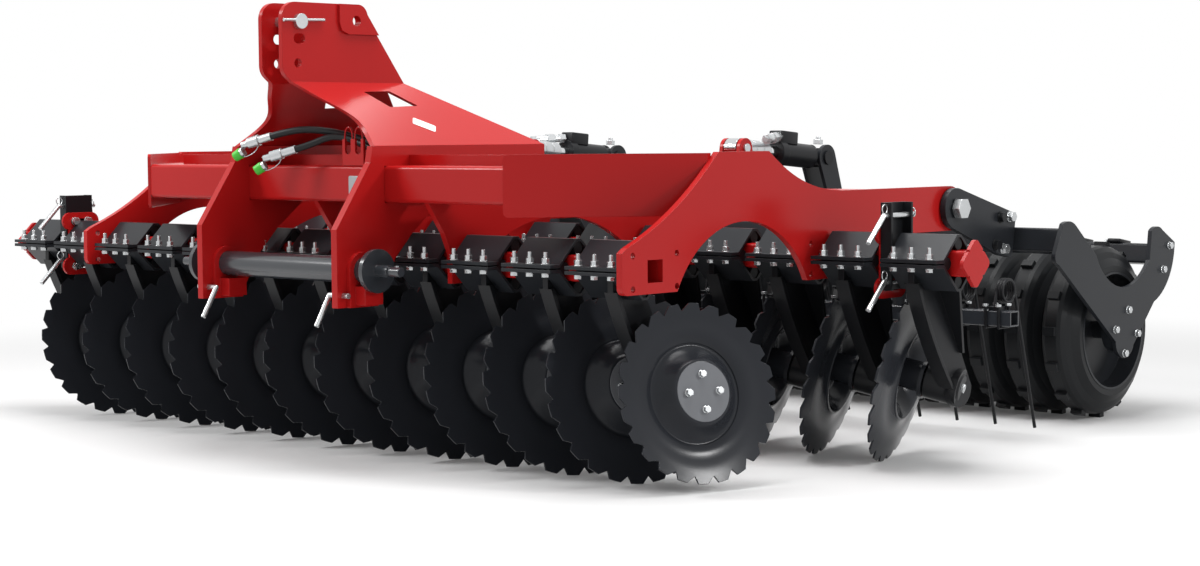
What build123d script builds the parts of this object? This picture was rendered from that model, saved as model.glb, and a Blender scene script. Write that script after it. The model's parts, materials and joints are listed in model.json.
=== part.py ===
from build123d import *
import math
import os

# Three-point-mounted compact disc harrow, millimetres, Z up, ground at Z 0.
# The hitch points toward -Y, the machine's left side is +X, and X 0 is its middle plane.

# Disc rows
DISCS_PER_ROW = 12
DISC_PITCH = 250.0
ROW_STAGGER = 125.0
ROW_PITCH = 800.0
DISC_RADIUS = 280.0
OUTER_DISC_RADIUS = 255.0
DISH_RADIUS = 1300.0
SEAT_RISE = 20.0
CUP_RADIUS = 150.0
LIP_WIDTH = 16.0
LIP_DROP = 6.0
DISC_THICKNESS = 6.0
DISC_CENTRE_RADIUS = 92.0
NOTCHES = 24
NOTCH_WIDTH = 36.0
NOTCH_DEPTH = 20.0
NOTCH_FLOOR = 3.0
NOTCH_LEAN = 7.0
CUT_ANGLE = 18.0
TILT_ANGLE = 13.0
HUB_RADIUS = 62.0
HUB_THICKNESS = 12.0
HUB_NECK_RADIUS = 46.0
HUB_BACK = 80.0
DISC_BOLT_CIRCLE = 108.0
DISC_BOLT_HOLE = 13.0

# Bearing housings and arms
SPINDLE_RADIUS = 30.0
SPINDLE_LENGTH = 92.0
SPINDLE_CLEARANCE = 0.3
HOUSING_RADIUS = 57.0
HOUSING_GAP = 5.0
HOUSING_LENGTH = 101.0
ARM_THICKNESS = 20.0
ARM_REACH = 162.0
ARM_TOP_WIDTH = 128.0
ARM_TRAIL = 125.0
ARM_RIB_WIDTH = 48.0
ARM_RIB_THICKNESS = 14.0
ARM_BULGE = 16.0
ARM_FLANGE_WIDTH = 86.0
ARM_FLANGE_END = 22.0
ARM_FLANGE_THICKNESS = 10.0
ARM_FLANGE_SHARE = 0.68
EYE_WALL = 4.0

# Tool bars and rubber-sprung clamps
FRONT_BAR_Y = -1089.0
BAR_Z = 618.0
BAR_SIZE = 75.0
BAR_WALL = 6.0
BAR_OVERHANG = 143.0
BAR_END_PLATE = 12.0
BAR_END_LOBE = 68.0
BAR_END_CORNER = 16.0
BAR_END_SCALLOP = 4.5
BAR_CORNER = 8.0
CLAMP_OFFSET = 187.5
CLAMP_WIDTH = 195.0
CLAMP_WALL = 8.0
CLAMP_SPLIT = 4.0
FLANGE_REACH = 118.0
FLANGE_THICKNESS = 10.0
CORD_RADIUS = 18.0
CORD_CLEARANCE = 0.3
CORD_LENGTH = 188.0

# Front beam with its swept wings
BEAM_AHEAD = 105.0
BEAM_SIZE = 110.0
BEAM_BOTTOM = 796.0
BEAM_CORNER_X = 830.0
BEAM_ROUND = 12.0
WING_ANGLE = 46.0
WING_PLATE_HEIGHT = 178.0
WING_PLATE_THICKNESS = 10.0
WING_PLATE_CORNER = 14.0
BEAM_STRIP_HEIGHT = 32.0
BEAM_STRIP_THICKNESS = 10.0

# Side plates
SIDE_X = 1240.0
SIDE_THICKNESS = 20.0
SIDE_FOOT_BOTTOM = 556.0
SIDE_HUMP_TOP = 943.0
SIDE_ARCH_TOP = 742.0
SIDE_FOOT_HALF = 110.0
SIDE_HOLE_RADIUS = 9.0
SIDE_HOLE_Y = 92.0
SIDE_HOLE_Z = 46.0

# Rear frame
REAR_BEAM_BACK = 1290.0
REAR_BEAM_SIZE = 110.0
REAR_BEAM_BOTTOM = 700.0
RAIL_X = 320.0
RAIL_WIDTH = 100.0
CARRIER_X = 500.0
CARRIER_THICKNESS = 20.0
CARRIER_FOOT_HALF = 56.0
CARRIER_SHOULDER = 86.0
CARRIER_SHOULDER_RISE = 89.0
CARRIER_FLANK_RISE = 22.0

# Headstock
HITCH_PLATE_THICKNESS = 25.0
HITCH_BOTTOM = 492.0
HITCH_FRONT = 350.0
HITCH_RISE = 59.0
SKIRT_RISE = 195.0
MAST_RISE = 240.0
MAST_FRONT = 315.0
MAST_FOOT = 197.0
FOLD_BACK = 174.0
SKIRT_BACK = 525.0
MAST_CORNER = 50.0
MAST_GAP = 80.0
MAST_THICKNESS = 16.0
SKIRT_THICKNESS = 12.0
TOP_PIN_RADIUS = 16.0
TOP_PIN_AHEAD = 248.0
TOP_PIN_DROP = 58.0
TOP_SLOT_DROP = 110.0
TOP_SLOT_LENGTH = 44.0
TOP_SLOT_WIDTH = 30.0
LOW_HOLE_DROP = 184.0
LOW_HOLE_AHEAD = 255.0
LOW_HOLE_RADIUS = 14.0
REAR_EYE_DROP = 51.0
REAR_EYE_AHEAD = 27.0
REAR_EYE_RADIUS = 16.0
REAR_PAD = 10.0
LINK_AHEAD = 260.0
LINK_Z = 600.0
LINK_BAR_RADIUS = 39.0
LINK_FLANGE_RADIUS = 65.0
LINK_FLANGE_THICKNESS = 16.0
LINK_SHOULDER_SPAN = 825.0
LINK_PIN_RADIUS = 18.3
LINK_PIN_LENGTH = 52.0
LINK_TIP_RADIUS = 14.2
LINK_TIP_LENGTH = 46.0
SADDLE_THICKNESS = 16.0
SADDLE_RADIUS = 55.0
LOCK_PIN_RADIUS = 8.0
LOCK_PIN_AHEAD = 67.0
LOCK_PIN_Z = 528.0

# Roller frame and roller
PIVOT_BACK = 1450.0
PIVOT_Z = 748.0
PIVOT_RADIUS = 25.0
PIVOT_HEAD = 35.0
PIVOT_HEAD_HEIGHT = 26.0
PIVOT_CLEARANCE = 0.3
ROLLER_BACK = 820.0
ROLLER_DROP = 320.0
ROLLER_ARM_GAP = 5.0
ROLLER_ARM_THICKNESS = 20.0
ROLLER_ARM_EYE = 66.0
ROLLER_ARM_TAIL = 60.0
ROLLER_ARM_HEIGHT = 150.0
ROLLER_BEAM_BACK = 395.0
ROLLER_BEAM_DROP = 58.0
ROLLER_BEAM_SIZE = 80.0
END_PLATE_GAP = 31.0
END_PLATE_THICKNESS = 15.0
SCRAPER_BEAM_BACK = 1050.0
SCRAPER_BEAM_DROP = 30.0
SCRAPER_BEAM_SIZE = 70.0
RINGS = 19
RING_PITCH = 150.0
RING_WIDTH = 147.0
RING_CROWN = 70.0
RING_RADIUS = 292.0
RING_SEAT = 204.0
RING_LUGS = 15
LUG_HEIGHT = 14.0
LUG_LENGTH = 28.0
LUG_WIDTH = 44.0
DRUM_WALL = 8.0
DRUM_CLEARANCE = 0.3
DRUM_END_INSET = 70.0
AXLE_RADIUS = 30.0
BEARING_RADIUS = 72.0
BEARING_LENGTH = 38.0
SCRAPER_WIDTH = 28.0
SCRAPER_THICKNESS = 12.0
SCRAPER_TIP_RADIUS = 262.0

# Depth cylinders
CYLINDER_X = 500.0
LEVER_BACK = 274.0
LEVER_RISE = 203.0
LUG_PIN_Z = 945.0
EYE_RADIUS = 34.0
EYE_WIDTH = 50.0
EYE_PIN_RADIUS = 15.0
EYE_CLEARANCE = 0.3
EYE_GAP = 10.0
EYE_DRIFT = 1.5
LEVER_THICKNESS = 14.0
LEVER_EYE = 46.0
PIN_HEAD_RADIUS = 25.0
PIN_HEAD = 7.0
LEVER_GAP = 60.0
BARREL_RADIUS = 42.0
BARREL_LENGTH = 255.0
ROD_RADIUS = 24.0
ROD_START = 125.0

# Tine bar
TINE_BAR_BACK = 1470.0
TINE_BAR_Z = 400.0
TINE_BAR_SIZE = 50.0
TINE_BAR_WALL = 5.0
TINE_BAR_REACH = 1490.0
TINE_END_MARGIN = 60.0
HANGER_THICKNESS = 14.0
HANGER_INNER_X = 300.0
HANGER_OUTER_X = 1050.0
TINE_PITCH = 150.0
TINE_RADIUS = 5.5
COIL_RADIUS = 36.0
COIL_TURNS = 3
COIL_BACK = 50.0
COIL_RISE = 84.0
TINE_TIP_BACK = 215.0
TINE_TIP_Z = 26.0

# Side-disc adjusters
ADJUSTER_WIDTH = 38.0
ADJUSTER_GUIDE = 10.0
GUIDE_WIDTH = 150.0
GUIDE_LOBE = 62.0
GUIDE_LOBE_OFFSET = 80.0
GUIDE_WAIST = 100.0
GUIDE_SLOT_LENGTH = 84.0
GUIDE_SLOT_WIDTH = 18.0
ADJUSTER_PIN_DROP = 38.0
ADJUSTER_PIN_LOW = 558.0
ADJUSTER_PIN_GAP = 0.3
ADJUSTER_HANDLE = 78.0
ADJUSTER_DEPTH = 110.0
ADJUSTER_WALL = 8.0
ADJUSTER_BOTTOM = 532.0
ADJUSTER_TOP = 790.0

# Hydraulic hoses
HOSE_RADIUS = 11.0
# Points of each hose's route, Y from the front tool bar
HOSE_ROUTES = (
    (
        (268, -85, 944),
        (222, -90, 964),
        (170, -97, 984),
        (105, -117, 1000),
        (30, -157, 1015),
        (-45, -195, 1016),
        (-115, -223, 996),
    ),
    (
        (268, -121, 946),
        (225, -121, 960),
        (180, -123, 974),
        (130, -131, 992),
        (80, -157, 994),
        (30, -187, 970),
        (-12, -213, 956),
    ),
)
HOLDER_X = 188.0
HOLDER_WIDTH = 96.0
HOLDER_THICKNESS = 8.0
HOLDER_TOP = 986.0
HOLDER_INSET = 11.0
HOLDER_SLOT = 26.0
HOLDER_SLOT_OFFSET = 23.0

REAR_BAR_Y = FRONT_BAR_Y + ROW_PITCH
BEAM_Y = FRONT_BAR_Y - BEAM_AHEAD
BEAM_TOP = BEAM_BOTTOM + BEAM_SIZE
SKIRT_BOTTOM = BEAM_TOP + HITCH_RISE
MAST_FOLD = SKIRT_BOTTOM + SKIRT_RISE
MAST_TOP = MAST_FOLD + MAST_RISE
TOP_PIN_Z = MAST_TOP - TOP_PIN_DROP
REAR_BEAM_Y = FRONT_BAR_Y + REAR_BEAM_BACK
PIVOT_Y = FRONT_BAR_Y + PIVOT_BACK
FRONT_DISC_X = -DISC_PITCH * (DISCS_PER_ROW - 1) / 2 - ROW_STAGGER / 2
REAR_DISC_X = FRONT_DISC_X + ROW_STAGGER
BAR_REACH = CLAMP_OFFSET - FRONT_DISC_X + BAR_OVERHANG
END_PLATE_X = RINGS * RING_PITCH / 2 + END_PLATE_GAP
TINES = 2 * int((TINE_BAR_REACH - TINE_END_MARGIN) / TINE_PITCH + 0.5)
HANGER_STATIONS = (-HANGER_OUTER_X, -HANGER_INNER_X, HANGER_INNER_X, HANGER_OUTER_X)
DISC_CENTRE_Z = DISC_RADIUS * math.cos(math.radians(TILT_ANGLE)) + DISC_THICKNESS * math.sin(
    math.radians(TILT_ANGLE)
)
ROLLER_REACH = math.hypot(RING_RADIUS + LUG_HEIGHT, LUG_LENGTH / 2)
ROLLER_LIFT_ANGLE = math.degrees(
    math.atan2(ROLLER_DROP, ROLLER_BACK)
    - math.asin((PIVOT_Z - ROLLER_REACH) / math.hypot(ROLLER_BACK, ROLLER_DROP))
)
INNER_DIAMOND = BAR_SIZE / 2 + CORD_RADIUS * (1 + math.sqrt(2)) + CORD_CLEARANCE
OUTER_DIAMOND = INNER_DIAMOND + CLAMP_WALL * math.sqrt(2)


def save(name, shape):
    """Write one node's solids to its own file."""
    export_step(shape, os.path.join("parts", name + ".step"))


def group(solids):
    """Hold several solids that do not touch in one node."""
    return Compound(children=list(solids))


def face_of(*edges):
    """Close a chain of edges into a face."""
    return make_face(list(edges))


def polygon(*points):
    """Straight-sided face through the points."""
    return make_face(Polyline(*points, close=True))


def along_x(face, x_low, length):
    """Extrude a (Y, Z) face along X from x_low."""
    return extrude(Plane.YZ.offset(x_low) * face, length)


def box(x_low, x_high, y_low, y_high, z_low, z_high):
    """Axis-aligned block between its limits."""
    size = (x_high - x_low, y_high - y_low, z_high - z_low)
    centre = ((x_low + x_high) / 2, (y_low + y_high) / 2, (z_low + z_high) / 2)
    return Pos(*centre) * Box(*size)


def x_cylinder(radius, x_low, x_high, y, z):
    """Cylinder along X between two stations."""
    return Pos((x_low + x_high) / 2, y, z) * Rot(0, 90, 0) * Cylinder(radius, x_high - x_low)


def rod_between(start, end, radius):
    """Round bar from one point to another."""
    line = Vector(*end) - Vector(*start)
    plane = Plane(origin=start, z_dir=line)
    return extrude(plane * Circle(radius), line.length)


def tube_x(size, wall, corner, x_low, x_high, y, z):
    """Square tube with rounded corners along X, open at its ends."""
    outer = RectangleRounded(size, size, corner)
    inner = Rectangle(size - 2 * wall, size - 2 * wall)
    return along_x(Pos(y, z) * (outer - inner), x_low, x_high - x_low)


def beam_x(size, corner, x_low, x_high, y, z):
    """Closed square beam with rounded corners along X."""
    return along_x(Pos(y, z) * RectangleRounded(size, size, corner), x_low, x_high - x_low)


def disc_normal(side):
    """Unit normal of a disc's hollow side, turned to +X for the front row (side 1)."""
    cut = math.radians(CUT_ANGLE)
    tilt = math.radians(TILT_ANGLE)
    level = math.cos(tilt)
    return Vector(side * math.cos(cut) * level, -math.sin(cut) * level, math.sin(tilt))


def disc_plane(x, y, side):
    """Rim plane of a disc, its Z toward the hollow side."""
    cut = math.radians(CUT_ANGLE)
    rearward = Vector(side * math.sin(cut), math.cos(cut), 0)
    return Plane(origin=(x, y, DISC_CENTRE_Z), x_dir=rearward, z_dir=disc_normal(side))


def dish(r):
    """Height of the disc's spherical outer zone at a radius, measured from the full disc's rim."""
    return math.sqrt(DISH_RADIUS**2 - DISC_RADIUS**2) - math.sqrt(DISH_RADIUS**2 - r**2)


def dish_skin(radius, drop):
    """Edges of the disc's hollow face from the hub seat to the rim, lowered by drop."""
    lip = CUP_RADIUS + LIP_WIDTH
    seat_edge = (DISC_CENTRE_RADIUS, SEAT_RISE - drop)
    foot = (CUP_RADIUS, dish(lip) + LIP_DROP / 2 - drop)
    valley = (lip - LIP_WIDTH / 2, dish(lip) - LIP_DROP / 2 - drop)
    lip_end = (lip, dish(lip) - drop)
    middle = (radius + lip) / 2
    return [
        Line(seat_edge, foot),
        ThreePointArc(foot, valley, lip_end),
        ThreePointArc(lip_end, (middle, dish(middle) - drop), (radius, dish(radius) - drop)),
    ]


def disc_solid(radius):
    """Notched dished disc with its raised seat, hub flange and spindle, hollow side toward +Z."""
    t = DISC_THICKNESS
    back = SEAT_RISE - t
    hub_low = -HUB_BACK
    hub_top = hub_low + HUB_THICKNESS
    profile = face_of(
        Line((0, SEAT_RISE), (DISC_CENTRE_RADIUS, SEAT_RISE)),
        *dish_skin(radius, 0),
        Line((radius, dish(radius)), (radius, dish(radius) - t)),
        *dish_skin(radius, t),
        Polyline(
            (DISC_CENTRE_RADIUS, back),
            (HUB_NECK_RADIUS, back),
            (HUB_NECK_RADIUS, hub_top),
            (HUB_RADIUS, hub_top),
            (HUB_RADIUS, hub_low),
            (SPINDLE_RADIUS, hub_low),
            (SPINDLE_RADIUS, hub_low - SPINDLE_LENGTH),
            (0, hub_low - SPINDLE_LENGTH),
            (0, SEAT_RISE),
        ),
    )
    blank = revolve(Plane.XZ * profile, Axis.Z)
    beyond = DISC_THICKNESS
    mouth = NOTCH_WIDTH / 2 * (1 + beyond / NOTCH_DEPTH)
    notch = polygon(
        (radius + beyond, mouth),
        (radius - NOTCH_DEPTH, NOTCH_LEAN + NOTCH_FLOOR / 2),
        (radius - NOTCH_DEPTH, NOTCH_LEAN - NOTCH_FLOOR / 2),
        (radius + beyond, -mouth),
    )
    step = 360 / NOTCHES
    cutters = []
    for i in range(NOTCHES):
        prism = extrude(Pos(0, 0, -DISC_RADIUS / 2) * notch, DISC_RADIUS)
        cutters.append(Rot(0, 0, (i + 0.5) * step) * prism)
    for i in range(4):
        hole = Pos(DISC_BOLT_CIRCLE / 2, 0, SEAT_RISE) * Cylinder(
            DISC_BOLT_HOLE / 2, 4 * DISC_THICKNESS
        )
        cutters.append(Rot(0, 0, 45 + 90 * i) * hole)
    return blank - cutters


def hub_station():
    """Distance behind the rim plane where the bearing housing starts."""
    return HUB_BACK + HOUSING_GAP


def arm_solid():
    """Front-row arm with its bearing housing; its disc's rim centre is at X 0, its bar at Y 0."""
    plane = disc_plane(0, ARM_TRAIL, 1)
    normal = disc_normal(1)
    reach = ARM_REACH / normal.X
    eye_y = ARM_TRAIL - reach * normal.Y
    eye_z = DISC_CENTRE_Z - reach * normal.Z
    half = ARM_TOP_WIDTH / 2
    neck = BAR_Z - OUTER_DIAMOND + half / 2
    head = BAR_Z - CLAMP_SPLIT
    eye = HOUSING_RADIUS + EYE_WALL
    front_low = (eye_y - eye, eye_z)
    rear_low = (eye_y + eye, eye_z)
    bulge = ((front_low[0] - half) / 2 - ARM_BULGE, (neck + front_low[1]) / 2)
    web = face_of(
        Polyline((half, neck), (half, head), (-half, head), (-half, neck)),
        ThreePointArc((-half, neck), bulge, front_low),
        ThreePointArc(front_low, (eye_y, eye_z - eye), rear_low),
        Line(rear_low, (half, neck)),
    )
    plate = along_x(web, -ARM_REACH - ARM_THICKNESS / 2, ARM_THICKNESS)
    t = ARM_RIB_THICKNESS
    rib_face = face_of(
        Line((-half + t, neck), (-half, neck)),
        ThreePointArc((-half, neck), bulge, front_low),
        Line(front_low, (front_low[0] + t, front_low[1])),
        ThreePointArc(
            (front_low[0] + t, front_low[1]), (bulge[0] + t, bulge[1]), (-half + t, neck)
        ),
    )
    rib = along_x(rib_face, -ARM_REACH - ARM_RIB_WIDTH / 2, ARM_RIB_WIDTH)
    share = ARM_FLANGE_SHARE
    low_y = half + (rear_low[0] - half) * share
    low_z = neck + (rear_low[1] - neck) * share
    t = ARM_FLANGE_THICKNESS
    strip = polygon((half, neck), (low_y, low_z), (low_y - t, low_z), (half - t, neck))
    flange = along_x(strip, -ARM_REACH - ARM_FLANGE_WIDTH, ARM_FLANGE_WIDTH)
    beyond = polygon(
        (-ARM_REACH - ARM_FLANGE_WIDTH, neck),
        (-ARM_REACH - ARM_FLANGE_END, low_z),
        (-ARM_REACH - ARM_FLANGE_WIDTH, low_z),
    )
    flange = flange - extrude(Plane.XZ * beyond, 2 * half + 2 * eye, both=True)
    start = hub_station()
    housing = Pos(0, 0, -start - HOUSING_LENGTH / 2) * Cylinder(HOUSING_RADIUS, HOUSING_LENGTH)
    bore_length = SPINDLE_LENGTH - HOUSING_GAP + 4
    bore = Pos(0, 0, -start - bore_length / 2) * Cylinder(
        SPINDLE_RADIUS + SPINDLE_CLEARANCE, bore_length
    )
    clear = Pos(0, 0, -start + 200) * Cylinder(HOUSING_RADIUS + 40, 400)
    diamond = polygon(
        (-OUTER_DIAMOND - 60, BAR_Z + 60),
        (-OUTER_DIAMOND, BAR_Z),
        (-OUTER_DIAMOND + clamp_crest(), BAR_Z - clamp_crest()),
        (OUTER_DIAMOND - clamp_crest(), BAR_Z - clamp_crest()),
        (OUTER_DIAMOND, BAR_Z),
        (OUTER_DIAMOND + 60, BAR_Z + 60),
    )
    saddle = along_x(diamond, -ARM_REACH - 200, 400)
    solid = plate + rib + flange + plane.location * housing
    return solid - saddle - plane.location * bore - plane.location * clear


def clamp_crest():
    """Height of the flattened ridge of a clamp shell above the bar's middle."""
    return BAR_SIZE / 2 + 2 * CORD_RADIUS + CORD_CLEARANCE + CLAMP_WALL


def clamp_shell(up):
    """One clamp shell around the bar at Y 0, Z 0, centred on X 0; up is 1 or -1."""
    crest = clamp_crest()
    inner_crest = crest - CLAMP_WALL
    split = CLAMP_SPLIT / 2
    top = split + FLANGE_THICKNESS
    right = [
        (FLANGE_REACH, split),
        (FLANGE_REACH, top),
        (OUTER_DIAMOND - top, top),
        (OUTER_DIAMOND - crest, crest),
    ]
    inner = [(INNER_DIAMOND - split, split), (INNER_DIAMOND - inner_crest, inner_crest)]
    outline = right + [(-y, z) for y, z in reversed(right)]
    outline += [(-y, z) for y, z in inner] + list(reversed(inner))
    face = polygon(*[(y, up * z) for y, z in outline])
    return along_x(face, -CLAMP_WIDTH / 2, CLAMP_WIDTH)


def clamp_cords():
    """Four rubber cords of one clamp, against the bar's flats."""
    offset = BAR_SIZE / 2 + CORD_RADIUS
    places = [(offset, 0), (-offset, 0), (0, offset), (0, -offset)]
    radius = CORD_RADIUS - CORD_CLEARANCE / 2
    half = CORD_LENGTH / 2
    return [x_cylinder(radius, -half, half, y, z) for y, z in places]


def disc_x(row, number):
    """X of a disc's rim centre, numbered from the right-hand end."""
    first = FRONT_DISC_X if row > 0 else REAR_DISC_X
    return first + DISC_PITCH * number


def clamp_x(row, number):
    """X of the clamp that carries a disc."""
    return disc_x(row, number) - row * CLAMP_OFFSET


def row_y(row):
    """Y of a row's tool bar: row 1 is the front, -1 the rear."""
    return FRONT_BAR_Y if row > 0 else REAR_BAR_Y


def make_discs():
    """The 24 discs, each with its own hub and spindle."""
    full = disc_solid(DISC_RADIUS)
    small = disc_solid(OUTER_DISC_RADIUS)
    for row, label in ((1, "front"), (-1, "rear")):
        outer = DISCS_PER_ROW - 1 if row > 0 else 0
        for number in range(DISCS_PER_ROW):
            plane = disc_plane(disc_x(row, number), row_y(row) + ARM_TRAIL, row)
            shape = small if number == outer else full
            save(f"disc_{label}_{number + 1:02d}", plane.location * shape)


def make_disc_carriers():
    """Clamps, cords and arms of both rows."""
    arm = arm_solid()
    arms = {1: arm, -1: mirror(arm, about=Plane.YZ)}
    shells = [clamp_shell(1), clamp_shell(-1)]
    cords = clamp_cords()
    all_clamps = []
    all_cords = []
    carriers = []
    for row in (1, -1):
        for number in range(DISCS_PER_ROW):
            at_clamp = Pos(clamp_x(row, number), row_y(row), BAR_Z)
            all_clamps += [at_clamp * shell for shell in shells]
            all_cords += [at_clamp * cord for cord in cords]
            carriers.append(Pos(disc_x(row, number), row_y(row), 0) * arms[row])
    save("clamp_shells", group(all_clamps))
    save("disc_arms", group(carriers))
    save("rubber_cords", group(all_cords))


def end_plate(x_low):
    """Rounded diamond plate with scalloped sides that closes a tool bar's free end."""
    lobe = BAR_END_LOBE + BAR_END_CORNER * (math.sqrt(2) - 1)
    diamond = polygon((lobe, 0), (0, lobe), (-lobe, 0), (0, -lobe))
    plate = fillet(diamond.vertices(), BAR_END_CORNER)
    for i in range(4):
        plate = plate - Rot(0, 0, 45 + 90 * i) * Pos(lobe / math.sqrt(2), 0) * Circle(BAR_END_SCALLOP)
    return along_x(plate, x_low, BAR_END_PLATE)


def make_tool_bars():
    """Both tool bars: one end butts a side plate, the other runs out past the other plate."""
    for row, label in ((1, "front"), (-1, "rear")):
        low, high = (-BAR_REACH, SIDE_X) if row > 0 else (-SIDE_X, BAR_REACH)
        bar = tube_x(BAR_SIZE, BAR_WALL, BAR_CORNER, low, high, 0, 0)
        plate_low = low - BAR_END_PLATE if row > 0 else high
        save(f"{label}_tool_bar", Pos(0, row_y(row), BAR_Z) * (bar + end_plate(plate_low)))


def wing_rise(distance):
    """How far back a wing has swept after a distance along X."""
    return distance * math.tan(math.radians(WING_ANGLE))


def make_front_beam():
    """Straight beam, mitred wings back to the side plates, and a stiffening strip on top."""
    front = BEAM_Y - BEAM_SIZE / 2
    back = BEAM_Y + BEAM_SIZE / 2
    inner_x = BEAM_CORNER_X - BEAM_SIZE * math.tan(math.radians(WING_ANGLE / 2))
    wing_back = BEAM_Y + wing_rise(2 * SIDE_X - (BEAM_CORNER_X + inner_x) / 2)
    path = Polyline(
        (-2 * SIDE_X, wing_back),
        (-(BEAM_CORNER_X + inner_x) / 2, BEAM_Y),
        ((BEAM_CORNER_X + inner_x) / 2, BEAM_Y),
        (2 * SIDE_X, wing_back),
    )
    path = Pos(0, 0, BEAM_BOTTOM + BEAM_SIZE / 2) * path
    section = Plane(origin=path @ 0, z_dir=path % 0) * RectangleRounded(
        BEAM_SIZE, BEAM_SIZE, BEAM_ROUND
    )
    beam = sweep(section, path=path, transition=Transition.RIGHT)
    reach = FRONT_BAR_Y + ROW_PITCH
    beam = beam & box(-SIDE_X, SIDE_X, -abs(FRONT_BAR_Y) - ROW_PITCH, reach, 0, 2 * BEAM_TOP)
    strip = box(
        -inner_x, inner_x, back - BEAM_STRIP_THICKNESS, back, BEAM_TOP, BEAM_TOP + BEAM_STRIP_HEIGHT
    )
    for side in (1, -1):
        slot = box(
            side * RAIL_X - HITCH_PLATE_THICKNESS / 2,
            side * RAIL_X + HITCH_PLATE_THICKNESS / 2,
            back - 2 * BEAM_STRIP_THICKNESS,
            back + BEAM_STRIP_THICKNESS,
            BEAM_TOP,
            BEAM_TOP + 2 * BEAM_STRIP_HEIGHT,
        )
        strip = strip - slot
    save("front_beam", beam + strip)


def make_wing_plates():
    """Cover plate on the front face of each wing."""
    angle = math.radians(WING_ANGLE)
    front = BEAM_Y - BEAM_SIZE / 2
    middle = BEAM_BOTTOM + BEAM_SIZE / 2
    length = 2 * (SIDE_X - BEAM_CORNER_X) / math.cos(angle)
    plane = Plane(
        origin=(BEAM_CORNER_X, front, middle),
        x_dir=(math.cos(angle), math.sin(angle), 0),
        z_dir=(math.sin(angle), -math.cos(angle), 0),
    )
    sheet = Pos(length / 2, 0) * RectangleRounded(length, WING_PLATE_HEIGHT, WING_PLATE_CORNER)
    plate = extrude(plane * sheet, WING_PLATE_THICKNESS)
    plate = plate - box(SIDE_X, SIDE_X + 2000, -3000, 3000, 0, 2000)
    save("wing_plates", group([plate, mirror(plate, about=Plane.YZ)]))


def side_outline():
    """Outline of a side plate in (Y, Z) from the front tool bar."""
    foot = SIDE_FOOT_BOTTOM
    rear = ROW_PITCH
    half = SIDE_FOOT_HALF
    end_radius = 72.0
    tail_low = PIVOT_Z - end_radius
    tail_high = PIVOT_Z + end_radius
    arch_mid = ROW_PITCH / 2
    hump_front = 276.0
    hump_back = 507.0
    corner = 22.0
    front_top = 672.0
    front = -half - 27
    return face_of(
        Line((front + corner, foot), (half - 16, foot)),
        ThreePointArc((half - 16, foot), (arch_mid, SIDE_ARCH_TOP), (rear - half, foot)),
        Line((rear - half, foot), (rear + half, foot)),
        Line((rear + half, foot), (rear + half + 110, tail_low)),
        Line((rear + half + 110, tail_low), (PIVOT_BACK, tail_low)),
        ThreePointArc(
            (PIVOT_BACK, tail_low), (PIVOT_BACK + end_radius, PIVOT_Z), (PIVOT_BACK, tail_high)
        ),
        Line((PIVOT_BACK, tail_high), (rear + 60, tail_high)),
        Spline(
            (rear + 60, tail_high),
            (hump_back, SIDE_HUMP_TOP),
            tangents=((-1, 0.02), (-1, 0.75)),
        ),
        Line((hump_back, SIDE_HUMP_TOP), (hump_front, SIDE_HUMP_TOP)),
        ThreePointArc((hump_front, SIDE_HUMP_TOP), (126, 815), (front + corner, front_top + 14)),
        Line((front + corner, front_top + 14), (front, front_top)),
        Line((front, front_top), (front, foot + corner)),
        ThreePointArc(
            (front, foot + corner),
            (front + corner * 0.293, foot + corner * 0.293),
            (front + corner, foot),
        ),
    )


def make_side_plates():
    """Left and right side plates with the bar openings, corner holes and pivot bores."""
    outline = side_outline()
    opening = BAR_SIZE - 2 * BAR_WALL
    holes = [Pos(PIVOT_BACK, PIVOT_Z) * Circle(PIVOT_RADIUS)]
    for bar in (0, ROW_PITCH):
        for dy in (-SIDE_HOLE_Y, SIDE_HOLE_Y):
            for dz in (-SIDE_HOLE_Z, SIDE_HOLE_Z):
                holes.append(Pos(bar + dy, BAR_Z + dz) * Circle(SIDE_HOLE_RADIUS))
    for side, label in ((1, "left"), (-1, "right")):
        butt = 0 if side > 0 else ROW_PITCH
        through = ROW_PITCH - butt
        cuts = holes + [
            Pos(butt, BAR_Z) * Rectangle(opening, opening),
            Pos(through, BAR_Z) * Rectangle(BAR_SIZE, BAR_SIZE),
        ]
        face = Pos(FRONT_BAR_Y, 0) * (outline - cuts)
        low = SIDE_X if side > 0 else -SIDE_X - SIDE_THICKNESS
        save(f"side_plate_{label}", along_x(face, low, SIDE_THICKNESS))


def carrier_outline():
    """Outline of an inner plate that carries both tool bars, in (Y, Z) from the front tool bar."""
    half = CARRIER_FOOT_HALF
    shoulder_z = BAR_Z + CARRIER_SHOULDER_RISE
    flank_z = BAR_Z + CARRIER_FLANK_RISE
    back = REAR_BEAM_BACK - REAR_BEAM_SIZE / 2
    low = SIDE_FOOT_BOTTOM
    outline = face_of(
        Polyline(
            (half, BAR_Z),
            (half, low),
            (-half, low),
            (-half, flank_z),
            (-CARRIER_SHOULDER, shoulder_z),
            (-BEAM_AHEAD - BEAM_SIZE / 2 + BEAM_ROUND, BEAM_BOTTOM),
            (back, BEAM_BOTTOM),
            (back, shoulder_z),
            (ROW_PITCH + CARRIER_SHOULDER, shoulder_z),
            (ROW_PITCH + half, flank_z),
            (ROW_PITCH + half, low),
            (ROW_PITCH - half, low),
            (ROW_PITCH - half, BAR_Z),
        ),
        ThreePointArc((ROW_PITCH - half, BAR_Z), (ROW_PITCH / 2, SIDE_ARCH_TOP), (half, BAR_Z)),
    )
    for y in (0, ROW_PITCH):
        outline = outline - Pos(y, BAR_Z) * Rectangle(BAR_SIZE, BAR_SIZE)
    return Pos(FRONT_BAR_Y, 0) * outline


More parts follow.
